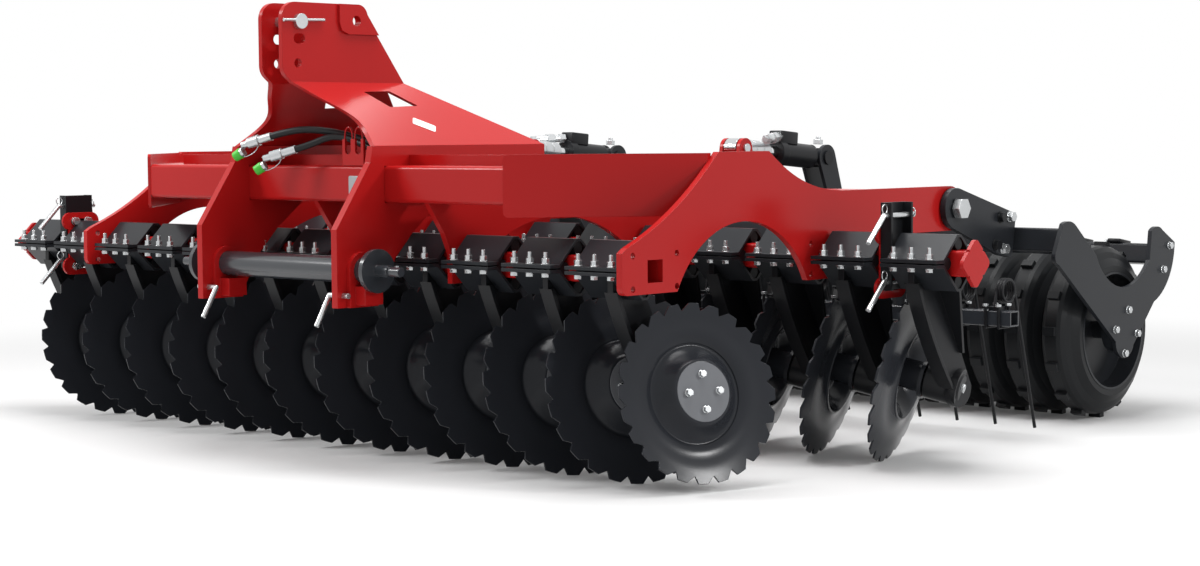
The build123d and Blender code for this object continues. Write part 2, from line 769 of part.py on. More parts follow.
def make_rear_frame():
    """Rear cross beam, rails and inner carrier plates to the front beam, and the cylinders' lugs."""
    half = REAR_BEAM_SIZE / 2
    top = REAR_BEAM_BOTTOM + REAR_BEAM_SIZE
    frame = beam_x(REAR_BEAM_SIZE, BEAM_ROUND, -SIDE_X, SIDE_X, REAR_BEAM_Y, top - half)
    for side in (1, -1):
        rail_front = BEAM_Y + BEAM_SIZE / 2
        rail_plane = Plane(
            origin=(side * RAIL_X, rail_front, (BEAM_BOTTOM + BEAM_TOP) / 2),
            x_dir=(1, 0, 0),
            z_dir=(0, 1, 0),
        )
        rail = RectangleRounded(RAIL_WIDTH, BEAM_SIZE, BEAM_ROUND)
        frame = frame + extrude(rail_plane * rail, REAR_BEAM_Y + half - rail_front)
        lug = make_hull(
            (Pos(REAR_BEAM_Y, LUG_PIN_Z) * Circle(EYE_RADIUS)).edges()
            + (Pos(REAR_BEAM_Y, top) * Rectangle(REAR_BEAM_SIZE, 1)).edges()
        ) - Pos(REAR_BEAM_Y, LUG_PIN_Z) * Circle(EYE_PIN_RADIUS)
        for flank in (1, -1):
            inner = side * CYLINDER_X + flank * LEVER_GAP / 2
            low = min(inner, inner + flank * LEVER_THICKNESS)
            frame = frame + along_x(lug, low, LEVER_THICKNESS)
    for x in (-CARRIER_X, 0, CARRIER_X):
        low = x - CARRIER_THICKNESS / 2
        frame = frame + along_x(carrier_outline(), low, CARRIER_THICKNESS)
    save("rear_frame", frame)


def make_hitch_plates():
    """Upright plates through the beam that carry the lower-link bar and the mast's skirts."""
    front = -HITCH_FRONT
    beam_front = -BEAM_AHEAD - BEAM_SIZE / 2
    depth = BEAM_BOTTOM - HITCH_BOTTOM
    outline = polygon(
        (0.586 * front, SKIRT_BOTTOM),
        (SKIRT_BACK, SKIRT_BOTTOM),
        (SKIRT_BACK, BEAM_TOP),
        (beam_front, BEAM_TOP),
        (beam_front, BEAM_BOTTOM),
        (-0.2 * front, BEAM_BOTTOM),
        (0.137 * front, HITCH_BOTTOM + 0.7 * depth),
        (0.342 * front, HITCH_BOTTOM + 0.454 * depth),
        (0.5 * front, HITCH_BOTTOM + 0.158 * depth),
        (0.571 * front, HITCH_BOTTOM),
        (front, HITCH_BOTTOM),
        (front, HITCH_BOTTOM + 0.757 * depth),
        (0.617 * front, BEAM_TOP + 0.17 * HITCH_RISE),
    )
    outline = outline - [
        Pos(-LINK_AHEAD, LINK_Z) * Circle(LINK_BAR_RADIUS),
        Pos(-LINK_AHEAD - LOCK_PIN_AHEAD, LOCK_PIN_Z) * Circle(LOCK_PIN_RADIUS),
    ]
    face = Pos(FRONT_BAR_Y, 0) * outline
    plates = []
    for side in (1, -1):
        low = side * RAIL_X - HITCH_PLATE_THICKNESS / 2
        plates.append(along_x(face, low, HITCH_PLATE_THICKNESS))
    save("hitch_plates", group(plates))


def mast_outline():
    """Side outline of a mast plate with its skirt, in (Y, Z) from the front tool bar."""
    front = -MAST_FRONT
    r = MAST_CORNER
    rear = 0.1 * FOLD_BACK
    low = SKIRT_BOTTOM
    return face_of(
        Line((-MAST_FOOT, low), (SKIRT_BACK, low)),
        Line((SKIRT_BACK, low), (FOLD_BACK, MAST_FOLD)),
        Line((FOLD_BACK, MAST_FOLD), (rear, MAST_TOP - 0.6 * r)),
        ThreePointArc(
            (rear, MAST_TOP - 0.6 * r), (rear - 0.28 * r, MAST_TOP - 0.16 * r), (rear - 0.8 * r, MAST_TOP)
        ),
        Line((rear - 0.8 * r, MAST_TOP), (front + r, MAST_TOP)),
        ThreePointArc((front + r, MAST_TOP), (front + 0.3 * r, MAST_TOP - 0.3 * r), (front, MAST_TOP - r)),
        Line((front, MAST_TOP - r), (front, MAST_FOLD + r)),
        Spline(
            (front, MAST_FOLD + r),
            (0.892 * front, MAST_FOLD),
            (0.733 * front, low + 0.759 * SKIRT_RISE),
            (0.524 * front, low + 0.385 * SKIRT_RISE),
            (-MAST_FOOT, low),
            tangents=((0, -1), (-0.55, -1)),
        ),
    )


def make_mast():
    """Folded mast plates: upright around the top link, flared below onto the hitch plates."""
    inner = MAST_GAP / 2
    outer = inner + MAST_THICKNESS
    foot = RAIL_X + HITCH_PLATE_THICKNESS / 2
    slope = math.atan2(MAST_FOLD - SKIRT_BOTTOM, foot - outer)
    foot_width = SKIRT_THICKNESS / math.sin(slope)
    fold_drop = SKIRT_THICKNESS / math.cos(slope)
    section = polygon(
        (inner, MAST_TOP + 10),
        (outer, MAST_TOP + 10),
        (outer, MAST_FOLD),
        (foot, SKIRT_BOTTOM),
        (foot - foot_width, SKIRT_BOTTOM),
        (inner, MAST_FOLD + (outer - inner) * math.tan(slope) - fold_drop),
    )
    ahead = Plane.XZ.offset(-(FRONT_BAR_Y - 2 * MAST_FRONT))
    sheet = extrude(ahead * section, -2 * (MAST_FRONT + SKIRT_BACK))
    low = SKIRT_BOTTOM
    window = polygon(
        (-0.167 * FOLD_BACK, low + 0.851 * SKIRT_RISE),
        (0.46 * FOLD_BACK, low + 0.862 * SKIRT_RISE),
        (0.793 * FOLD_BACK, low + 0.631 * SKIRT_RISE),
        (0.103 * FOLD_BACK, low + 0.605 * SKIRT_RISE),
    )
    rear_eye = Pos(-REAR_EYE_AHEAD, MAST_TOP - REAR_EYE_DROP) * Circle(REAR_EYE_RADIUS)
    cuts = [
        window,
        Pos(-TOP_PIN_AHEAD, TOP_PIN_Z) * Circle(TOP_PIN_RADIUS),
        Pos(-TOP_PIN_AHEAD, MAST_TOP - TOP_SLOT_DROP) * SlotOverall(TOP_SLOT_LENGTH, TOP_SLOT_WIDTH),
        Pos(-LOW_HOLE_AHEAD, MAST_TOP - LOW_HOLE_DROP) * Circle(LOW_HOLE_RADIUS),
        rear_eye,
    ]
    face = Pos(FRONT_BAR_Y, 0) * (mast_outline() - cuts)
    eye_y = -REAR_EYE_AHEAD
    eye_z = MAST_TOP - REAR_EYE_DROP
    r = REAR_EYE_RADIUS
    pad = polygon(
        (eye_y - 4.25 * r, MAST_TOP),
        (eye_y + 6 * r, MAST_TOP),
        (eye_y + 6 * r, eye_z - 2.6 * r),
        (eye_y - 2 * r, eye_z - 2.6 * r),
        (eye_y - 3.7 * r, eye_z - 1.9 * r),
        (eye_y - 4.25 * r, eye_z - 0.4 * r),
    )
    pad_face = Pos(FRONT_BAR_Y, 0) * ((pad & mast_outline()) - rear_eye)
    plate = sheet & along_x(face, 0, 2 * RAIL_X)
    plate = plate + along_x(pad_face, outer, REAR_PAD)
    save("mast_plates", group([plate, mirror(plate, about=Plane.YZ)]))


def make_lower_link():
    """Lower-link cross bar with flanges and stepped pins, its saddles and locking pins."""
    y = FRONT_BAR_Y - LINK_AHEAD
    shoulder = LINK_SHOULDER_SPAN / 2
    flange = shoulder - LINK_FLANGE_THICKNESS
    bar = x_cylinder(LINK_BAR_RADIUS, -shoulder, shoulder, y, LINK_Z)
    saddles = []
    pins = []
    for side in (1, -1):
        ends = sorted((side * flange, side * shoulder))
        bar = bar + x_cylinder(LINK_FLANGE_RADIUS, *ends, y, LINK_Z)
        ends = sorted((side * shoulder, side * (shoulder + LINK_PIN_LENGTH)))
        bar = bar + x_cylinder(LINK_PIN_RADIUS, *ends, y, LINK_Z)
        tip = shoulder + LINK_PIN_LENGTH + LINK_TIP_LENGTH
        ends = sorted((side * shoulder, side * tip))
        bar = bar + x_cylinder(LINK_TIP_RADIUS, *ends, y, LINK_Z)
        cheek = make_hull(
            (Pos(y, LINK_Z) * Circle(SADDLE_RADIUS)).edges()
            + (Pos(y, HITCH_BOTTOM + 2) * Rectangle(2 * SADDLE_RADIUS, 4)).edges()
        ) - Pos(y, LINK_Z) * Circle(LINK_BAR_RADIUS)
        for flank in (1, -1):
            inner = side * RAIL_X + flank * HITCH_PLATE_THICKNESS / 2
            low = min(inner, inner + flank * SADDLE_THICKNESS)
            saddle = along_x(cheek, low, SADDLE_THICKNESS)
            block_inner = inner + flank * SADDLE_THICKNESS
            block_low = min(block_inner, block_inner + flank * 44)
            block = box(block_low, block_low + 44, y - 34, y + 34, HITCH_BOTTOM + 8, LINK_Z - 45)
            saddles.append(saddle + block)
        pin_z = LOCK_PIN_Z
        pin_y = y - LOCK_PIN_AHEAD
        radius = LOCK_PIN_RADIUS
        ends = sorted((side * (RAIL_X - 50), side * (RAIL_X + 36)))
        shank = x_cylinder(radius, *ends, pin_y, pin_z)
        knee = (side * (RAIL_X - 50), pin_y, pin_z)
        grip = rod_between(knee, (knee[0], pin_y - 52, pin_z - 90), radius)
        pins.append(shank + grip + Pos(*knee) * Sphere(radius))
    return bar, saddles, pins


def make_headstock_pins():
    """Top-link pin through both mast plates, with its flat handle."""
    y = FRONT_BAR_Y - TOP_PIN_AHEAD
    half = MAST_GAP / 2 + MAST_THICKNESS
    shank = x_cylinder(TOP_PIN_RADIUS, -half - 22, half + 14, y, TOP_PIN_Z)
    head = x_cylinder(TOP_PIN_RADIUS + 7, half, half + 14, y, TOP_PIN_Z)
    handle = rod_between((half + 8, y - 66, TOP_PIN_Z + 2), (half + 8, y + 92, TOP_PIN_Z + 6), 5)
    return shank + head + handle


def pivot_pins():
    """Pivot pins of the roller frame, with a hex head outside each arm."""
    pins = []
    reach = SIDE_X + SIDE_THICKNESS + ROLLER_ARM_GAP + ROLLER_ARM_THICKNESS
    for side in (1, -1):
        ends = sorted((side * (SIDE_X - 20), side * (reach + 6)))
        pin = x_cylinder(PIVOT_RADIUS, *ends, PIVOT_Y, PIVOT_Z)
        head = RegularPolygon(PIVOT_HEAD, 6)
        height = PIVOT_HEAD_HEIGHT
        low = reach + 5 if side > 0 else -reach - 5 - height
        pins.append(pin + along_x(Pos(PIVOT_Y, PIVOT_Z) * head, low, height))
    return pins


def lug_pins():
    """Pins of the cylinders' rod eyes in the rear beam's lugs."""
    pins = []
    reach = LEVER_GAP / 2 + LEVER_THICKNESS + 8
    for side in (1, -1):
        x = side * CYLINDER_X
        pins.append(x_cylinder(EYE_PIN_RADIUS, x - reach, x + reach, REAR_BEAM_Y, LUG_PIN_Z))
    return pins


def make_pins():
    """All loose pins of the main frame in one node, and the lower-link pieces."""
    bar, saddles, locks = make_lower_link()
    save("lower_link_bar", bar)
    save("hitch_saddles", group(saddles))
    loose = locks + [make_headstock_pins()] + pivot_pins() + lug_pins() + adjuster_pins()
    save("pins", group(loose))


def roller_place(shape):
    """Turn a piece drawn about the pivot, level, to where the roller frame stands."""
    return Pos(0, PIVOT_Y, PIVOT_Z) * Rot(ROLLER_LIFT_ANGLE, 0, 0) * shape


def make_roller_frame():
    """Arms, front beam, levers, end plates and scraper beam about the pivot."""
    beam_y = ROLLER_BEAM_BACK
    beam_z = -ROLLER_BEAM_DROP
    half = ROLLER_BEAM_SIZE / 2
    beam = beam_x(ROLLER_BEAM_SIZE, BAR_CORNER, -END_PLATE_X, END_PLATE_X, beam_y, beam_z)
    arm_face = make_hull(
        Circle(ROLLER_ARM_EYE).edges()
        + (
            Pos(beam_y - half - 0.75 * ROLLER_ARM_TAIL, beam_z + 0.2 * ROLLER_ARM_TAIL)
            * Rectangle(ROLLER_ARM_TAIL, ROLLER_ARM_HEIGHT)
        ).edges()
    ) - Circle(PIVOT_RADIUS + PIVOT_CLEARANCE)
    tail = Pos(beam_y - half - ROLLER_ARM_TAIL / 2, beam_z) * Rectangle(
        ROLLER_ARM_TAIL, 0.8 * ROLLER_ARM_HEIGHT
    )
    arms = []
    for side in (1, -1):
        inner = SIDE_X + SIDE_THICKNESS + ROLLER_ARM_GAP
        low = inner if side > 0 else -inner - ROLLER_ARM_THICKNESS
        arm = along_x(arm_face, low, ROLLER_ARM_THICKNESS)
        arms.append(arm + along_x(tail, low, ROLLER_ARM_THICKNESS))
    save("roller_arms", roller_place(group(arms)))
    save("roller_beam", roller_place(beam))
    pin = Pos(LEVER_BACK, LEVER_RISE)
    lever_face = make_hull(
        (pin * Circle(LEVER_EYE)).edges()
        + (Pos(beam_y, beam_z + half + 2) * Rectangle(2 * half, 4)).edges()
    ) - pin * Circle(EYE_PIN_RADIUS)
    levers = []
    for side in (1, -1):
        for flank in (1, -1):
            inner = side * CYLINDER_X + flank * LEVER_GAP / 2
            low = min(inner, inner + flank * LEVER_THICKNESS)
            levers.append(along_x(lever_face, low, LEVER_THICKNESS))
    save("levers", roller_place(group(levers)))
    make_end_plates()
    make_scrapers()


def end_plate_outline():
    """Outline of a roller end plate about the pivot: front lobe, bearing tip and rear horn."""
    k = ROLLER_BACK
    drop = -ROLLER_DROP
    r = BEARING_RADIUS
    tip_front = (k - 0.86 * r, drop - 0.556 * r)
    tip_rear = (k + 0.86 * r, drop - 0.556 * r)
    return face_of(
        Line((0.388 * k, -0.132 * k), (0.429 * k, -0.005 * k)),
        ThreePointArc((0.429 * k, -0.005 * k), (0.454 * k, 0.007 * k), (0.527 * k, 0)),
        Line((0.527 * k, 0), (0.705 * k, -0.1 * k)),
        ThreePointArc((0.705 * k, -0.1 * k), (0.909 * k, -0.21 * k), (1.152 * k, -0.073 * k)),
        Line((1.152 * k, -0.073 * k), (1.149 * k, 0.051 * k)),
        ThreePointArc((1.149 * k, 0.051 * k), (1.177 * k, 0.071 * k), (1.241 * k, 0.066 * k)),
        Line((1.241 * k, 0.066 * k), (1.356 * k, 0.027 * k)),
        ThreePointArc((1.356 * k, 0.027 * k), (1.323 * k, -0.146 * k), (1.22 * k, -0.244 * k)),
        Line((1.22 * k, -0.244 * k), tip_rear),
        ThreePointArc(tip_rear, (k, drop - 1.278 * r), tip_front),
        Line(tip_front, (0.421 * k, -0.171 * k)),
        ThreePointArc((0.421 * k, -0.171 * k), (0.393 * k, -0.156 * k), (0.388 * k, -0.132 * k)),
    )


def make_end_plates():
    """End plates with the roller's flange bearings on their inner faces."""
    face = end_plate_outline()
    plates = []
    for side in (1, -1):
        low = END_PLATE_X if side > 0 else -END_PLATE_X - END_PLATE_THICKNESS
        plate = along_x(face, low, END_PLATE_THICKNESS)
        inner = END_PLATE_X - BEARING_LENGTH
        ends = sorted((side * inner, side * END_PLATE_X))
        bearing = x_cylinder(BEARING_RADIUS, *ends, ROLLER_BACK, -ROLLER_DROP)
        bore = x_cylinder(AXLE_RADIUS + DRUM_CLEARANCE, *ends, ROLLER_BACK, -ROLLER_DROP)
        plates.append(plate + (bearing - bore))
    save("roller_end_plates", roller_place(group(plates)))


def make_scrapers():
    """Scraper beam between the end plates' horns and a scraper into each groove of the roller."""
    y = SCRAPER_BEAM_BACK
    z = -SCRAPER_BEAM_DROP
    half = SCRAPER_BEAM_SIZE / 2
    beam = beam_x(SCRAPER_BEAM_SIZE, BAR_CORNER, -END_PLATE_X, END_PLATE_X, y, z)
    save("scraper_beam", roller_place(beam))
    angle = math.radians(52)
    tip_y = ROLLER_BACK + SCRAPER_TIP_RADIUS * math.cos(angle)
    tip_z = -ROLLER_DROP + SCRAPER_TIP_RADIUS * math.sin(angle)
    low_z = z - half
    t = SCRAPER_THICKNESS
    blade_face = polygon(
        (y - half, low_z),
        (y + 12, low_z),
        (y + 12, low_z - t),
        (y - half + 16, low_z - t),
        (tip_y + 12, tip_z - 4),
        (tip_y, tip_z + 4),
    )
    blades = []
    for i in range(RINGS - 1):
        x = (i - (RINGS - 2) / 2) * RING_PITCH
        blades.append(along_x(blade_face, x - SCRAPER_WIDTH / 2, SCRAPER_WIDTH))
    save("scrapers", roller_place(group(blades)))


def ring_solid():
    """One rubber ring of the roller about the X axis, with its lugs on the crown."""
    half = RING_WIDTH / 2
    crown = RING_CROWN / 2
    wall = 20.0
    shoulder = RING_RADIUS - 14
    right = [
        (half, RING_SEAT),
        (half, RING_SEAT + wall),
        (crown + 20, shoulder - 28),
        (crown + 10, shoulder - 7),
        (crown - 1, shoulder + 8),
        (crown - 14, RING_RADIUS),
    ]
    profile = polygon(*(right + [(-x, r) for x, r in reversed(right)]))
    ring = revolve(Plane.XZ * profile, Axis.X)
    reach = RING_RADIUS + LUG_HEIGHT
    lug = box(-LUG_WIDTH / 2, LUG_WIDTH / 2, -LUG_LENGTH / 2, LUG_LENGTH / 2, RING_RADIUS - 20, reach)
    lugs = [Rot(360 / RING_LUGS * i, 0, 0) * lug for i in range(RING_LUGS)]
    return ring + lugs


def make_roller():
    """Drum with recessed ends and stub axles, and its rubber rings."""
    at_axis = Pos(0, ROLLER_BACK, -ROLLER_DROP)
    outer = RING_SEAT - DRUM_CLEARANCE
    length = RINGS * RING_PITCH
    drum = Rot(0, 90, 0) * (Cylinder(outer, length) - Cylinder(outer - DRUM_WALL, length))
    axle_end = END_PLATE_X - 4
    for side in (1, -1):
        disc_end = side * (length / 2 - DRUM_END_INSET)
        ends = sorted((disc_end, disc_end - side * 12))
        drum = drum + x_cylinder(outer - DRUM_WALL / 2, *ends, 0, 0)
        ends = sorted((disc_end - side * 12, side * axle_end))
        drum = drum + x_cylinder(AXLE_RADIUS, *ends, 0, 0)
    save("roller_drum", roller_place(at_axis * drum))
    ring = ring_solid()
    rings = []
    for i in range(RINGS):
        x = (i - (RINGS - 1) / 2) * RING_PITCH
        rings.append(Pos(x, 0, 0) * ring)
    save("roller_rings", roller_place(at_axis * group(rings)))


def lever_pin():
    """Y and Z of the levers' cylinder pins as the machine stands."""
    turn = math.radians(ROLLER_LIFT_ANGLE)
    y = PIVOT_Y + LEVER_BACK * math.cos(turn) - LEVER_RISE * math.sin(turn)
    z = PIVOT_Z + LEVER_BACK * math.sin(turn) + LEVER_RISE * math.cos(turn)
    return y, z


def make_cylinders():
    """Barrels on the levers and rods on the frame's lugs."""
    y, z = lever_pin()
    run = Vector(0, REAR_BEAM_Y - y, LUG_PIN_Z - z)
    for side, label in ((1, "left"), (-1, "right")):
        x = side * CYLINDER_X
        plane = Plane(origin=(x, y, z), x_dir=(1, 0, 0), z_dir=run)
        pin_half = LEVER_GAP / 2 + LEVER_THICKNESS + 8
        eye = Rot(0, 90, 0) * (Cylinder(EYE_RADIUS, EYE_WIDTH))
        start = LEVER_EYE + EYE_GAP
        neck = Pos(0, 0, start / 2) * Cylinder(EYE_WIDTH / 2, start)
        body_length = BARREL_LENGTH - start
        body = Pos(0, 0, start + body_length / 2) * Cylinder(BARREL_RADIUS, body_length)
        gland = Pos(0, 0, BARREL_LENGTH - 17) * Cylinder(BARREL_RADIUS + 5, 34)
        bore = Pos(0, 0, 60 + BARREL_LENGTH / 2) * Cylinder(ROD_RADIUS + EYE_CLEARANCE, BARREL_LENGTH)
        pin = Cylinder(EYE_PIN_RADIUS - EYE_CLEARANCE, 2 * pin_half)
        for end in (1, -1):
            pin = pin + Pos(0, 0, end * (pin_half - PIN_HEAD / 2)) * Cylinder(PIN_HEAD_RADIUS, PIN_HEAD)
        pin = Rot(0, 90, 0) * pin
        barrel = eye + neck + body + gland - bore + pin
        save(f"cylinder_barrel_{label}", plane.location * barrel)
        length = run.length
        rod_eye = Pos(0, 0, length) * Rot(0, 90, 0) * Cylinder(EYE_RADIUS, EYE_WIDTH)
        rod_length = length - ROD_START
        rod = Pos(0, 0, ROD_START + rod_length / 2) * Cylinder(ROD_RADIUS, rod_length)
        clear = Pos(0, 0, length) * Rot(0, 90, 0) * Cylinder(EYE_PIN_RADIUS + EYE_DRIFT, 2 * EYE_WIDTH)
        save(f"cylinder_rod_{label}", plane.location * (rod + rod_eye - clear))


def make_tine_bar():
    """Square tine bar on hangers from the rear beam, and its spring tines."""
    y = FRONT_BAR_Y + TINE_BAR_BACK
    half = TINE_BAR_SIZE / 2
    bar = tube_x(
        TINE_BAR_SIZE,
        TINE_BAR_WALL,
        TINE_BAR_WALL,
        -TINE_BAR_REACH,
        TINE_BAR_REACH,
        y,
        TINE_BAR_Z,
    )
    beam_half = REAR_BEAM_SIZE / 2
    hanger = polygon(
        (REAR_BEAM_Y - beam_half, REAR_BEAM_BOTTOM),
        (REAR_BEAM_Y + beam_half, REAR_BEAM_BOTTOM),
        (y + half, TINE_BAR_Z + 2.3 * TINE_BAR_SIZE),
        (y + half, TINE_BAR_Z + half),
        (y - half, TINE_BAR_Z + half),
        (y - 1.1 * TINE_BAR_SIZE, TINE_BAR_Z + 1.7 * TINE_BAR_SIZE),
    )
    t = HANGER_THICKNESS
    hangers = [along_x(hanger, x - t / 2, t) for x in HANGER_STATIONS]
    save("tine_bar", bar)
    save("tine_hangers", group(hangers))
    tine = tine_solid(y)
    first = -TINE_PITCH * (TINES - 1) / 2
    save("tines", group([Pos(first + TINE_PITCH * i, 0, 0) * tine for i in range(TINES)]))


def tine_solid(bar_y):
    """Spring tine: a clamp block on the bar, a close coil and a straight leg to the tip."""
    coil_y = bar_y + COIL_BACK
    coil_z = TINE_BAR_Z + COIL_RISE
    top = TINE_BAR_Z + TINE_BAR_SIZE / 2
    solid = box(-18, 18, bar_y - 22, bar_y + 22, top, top + 12)
    pitch = 2 * TINE_RADIUS - 1
    for turn in range(COIL_TURNS):
        x = (turn - (COIL_TURNS - 1) / 2) * pitch
        solid = solid + Pos(x, coil_y, coil_z) * Rot(0, 90, 0) * Torus(COIL_RADIUS, TINE_RADIUS)
    low_x = -(COIL_TURNS - 1) / 2 * pitch
    shank = rod_between((low_x, bar_y, top + 6), (low_x, coil_y - COIL_RADIUS, coil_z), TINE_RADIUS)
    tip = (-low_x, bar_y + TINE_TIP_BACK, TINE_TIP_Z)
    leg = rod_between((-low_x, coil_y + COIL_RADIUS, coil_z), tip, TINE_RADIUS)
    return solid + shank + leg


def guide_plate():
    """Two-lobed guide plate around the tool bar, in (Y, Z) about the bar, with its two slots."""
    plate = Rectangle(GUIDE_WAIST, 2 * GUIDE_LOBE_OFFSET)
    for up in (1, -1):
        plate = plate + Pos(0, up * GUIDE_LOBE_OFFSET) * SlotOverall(GUIDE_WIDTH, GUIDE_LOBE)
    for up in (1, -1):
        plate = plate - Pos(0, up * GUIDE_LOBE_OFFSET) * SlotOverall(
            GUIDE_SLOT_LENGTH, GUIDE_SLOT_WIDTH
        )
    return plate - Rectangle(BAR_SIZE, BAR_SIZE)


def adjuster_place(row):
    """X of an adjuster's outer face and inner face, between a row's two outer clamps."""
    outer = 0 if row > 0 else DISCS_PER_ROW - 2
    x = (clamp_x(row, outer) + clamp_x(row, outer + 1)) / 2
    half = (ADJUSTER_WIDTH + ADJUSTER_GUIDE) / 2
    return x - row * half, x + row * half


def adjuster_pins():
    """Bent pins across both adjusters' channels."""
    pins = []
    for row in (1, -1):
        outer, inner = adjuster_place(row)
        x = outer + row * (ADJUSTER_WIDTH - ADJUSTER_WALL) / 2
        front = row_y(row) - ADJUSTER_DEPTH / 2
        for z in (ADJUSTER_TOP - ADJUSTER_PIN_DROP, ADJUSTER_PIN_LOW):
            knee = (x, front - 2 * LOCK_PIN_RADIUS, z)
            tail = (x, front + ADJUSTER_DEPTH + 3 * LOCK_PIN_RADIUS, z)
            tip = (x, knee[1] - ADJUSTER_HANDLE, z - ADJUSTER_HANDLE)
            pin = rod_between(knee, tail, LOCK_PIN_RADIUS) + rod_between(knee, tip, LOCK_PIN_RADIUS)
            pins.append(pin + Pos(*knee) * Sphere(LOCK_PIN_RADIUS))
    return pins


def make_adjusters():
    """Upright channels of the outer-disc adjusters, open outward, each on its guide plate."""
    channels = []
    guides = []
    for row in (1, -1):
        outer, inner = adjuster_place(row)
        y = row_y(row)
        wall = ADJUSTER_WALL
        half = ADJUSTER_DEPTH / 2
        web = inner - row * ADJUSTER_GUIDE
        low, high = sorted((outer, web))
        channel = box(low, high, y - half, y + half, ADJUSTER_BOTTOM, ADJUSTER_TOP)
        low, high = sorted((outer - row, web - row * wall))
        hollow = box(
            low, high, y - half + wall, y + half - wall, ADJUSTER_BOTTOM - 1, ADJUSTER_TOP + 1
        )
        low, high = sorted((outer - row, inner + row))
        bar = along_x(Pos(y, BAR_Z) * Rectangle(BAR_SIZE, BAR_SIZE), low, high - low)
        channel = channel - hollow - bar
        x = outer + row * (ADJUSTER_WIDTH - wall) / 2
        for z in (ADJUSTER_TOP - ADJUSTER_PIN_DROP, ADJUSTER_PIN_LOW):
            start = (x, y - ADJUSTER_DEPTH, z)
            end = (x, y + ADJUSTER_DEPTH, z)
            channel = channel - rod_between(start, end, LOCK_PIN_RADIUS + ADJUSTER_PIN_GAP)
        channels.append(channel)
        low, high = sorted((web, inner))
        guides.append(along_x(Pos(y, BAR_Z) * guide_plate(), low, high - low))
    save("disc_adjusters", group(channels))
    save("adjuster_guides", group(guides))


def hose_path(points):
    """Straight runs joined by arcs as large as the runs beside each corner allow."""
    corners = [Vector(*point) for point in points]
    radii = []
    for before, corner, after in zip(corners, corners[1:], corners[2:]):
        run_in = corner - before
        run_out = after - corner
        half_turn = math.radians(run_in.get_angle(run_out)) / 2
        radii.append(0.45 * min(run_in.length, run_out.length) / math.tan(half_turn))
    print("hose bend radii:", [round(radius) for radius in radii])
    return FilletPolyline(*points, radius=radii)


def hose_fitting(path, end):
    """Gland on the hitch plate at a hose's start (end 0) or quick coupling at its tip (end 1)."""
    if end:
        plane = Plane(origin=path @ 1, z_dir=path % 1)
        sleeve = extrude(plane * Circle(13), 45)
        collar = extrude(plane.offset(45) * Circle(17), 38)
        return sleeve + collar + extrude(plane.offset(83) * Circle(11), 24)
    plane = Plane(origin=path @ 0, z_dir=(path % 0) * -1)
    wall = RAIL_X - HITCH_PLATE_THICKNESS / 2
    gland = extrude(plane * Circle(13), 90) + extrude(plane.offset(18) * Circle(17), 72)
    return gland - box(wall, wall + 200, -2000, 0, 800, 1100)


def make_hoses():
    """Two hydraulic hoses from glands on the left hitch plate, their couplings and the fork."""
    fittings = []
    for number, route in enumerate(HOSE_ROUTES):
        path = hose_path([(x, FRONT_BAR_Y + y, z) for x, y, z in route])
        section = Plane(origin=path @ 0, z_dir=path % 0) * Circle(HOSE_RADIUS)
        save(f"hose_{number + 1}", sweep(section, path=path))
        fittings += [hose_fitting(path, 0), hose_fitting(path, 1)]
    save("hose_couplings", group(fittings))
    face = BEAM_Y - BEAM_SIZE / 2 + HOLDER_INSET
    holder = Pos(HOLDER_X, 0) * Rectangle(HOLDER_WIDTH, HOLDER_TOP - BEAM_TOP)
    for side in (1, -1):
        slot = Pos(HOLDER_X + side * HOLDER_SLOT_OFFSET, 34) * RectangleRounded(
            HOLDER_SLOT, HOLDER_TOP - BEAM_TOP, HOLDER_SLOT / 2 - 1
        )
        holder = holder - slot
    plane = Plane(origin=(0, face, (BEAM_TOP + HOLDER_TOP) / 2), x_dir=(1, 0, 0), z_dir=(0, 1, 0))
    save("hose_holder", extrude(plane * Rot(180, 0, 0) * holder, HOLDER_THICKNESS))


def main():
    """Build every node of the harrow."""
    os.makedirs("parts", exist_ok=True)
    make_front_beam()
    make_wing_plates()
    make_side_plates()
    make_rear_frame()
    make_hitch_plates()
    make_mast()
    make_pins()
    make_tool_bars()
    make_disc_carriers()
    make_discs()
    make_adjusters()
    make_roller_frame()
    make_roller()
    make_cylinders()
    make_tine_bar()
    make_hoses()


main()
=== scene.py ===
"""Looks of a three-point-mounted compact disc harrow: finishes, fasteners, hoses and the studio."""

from __future__ import annotations

import json
import logging
import math
from dataclasses import dataclass
from enum import Enum
from typing import Iterable, Sequence

import bmesh
import bpy
from mathutils import Matrix, Vector

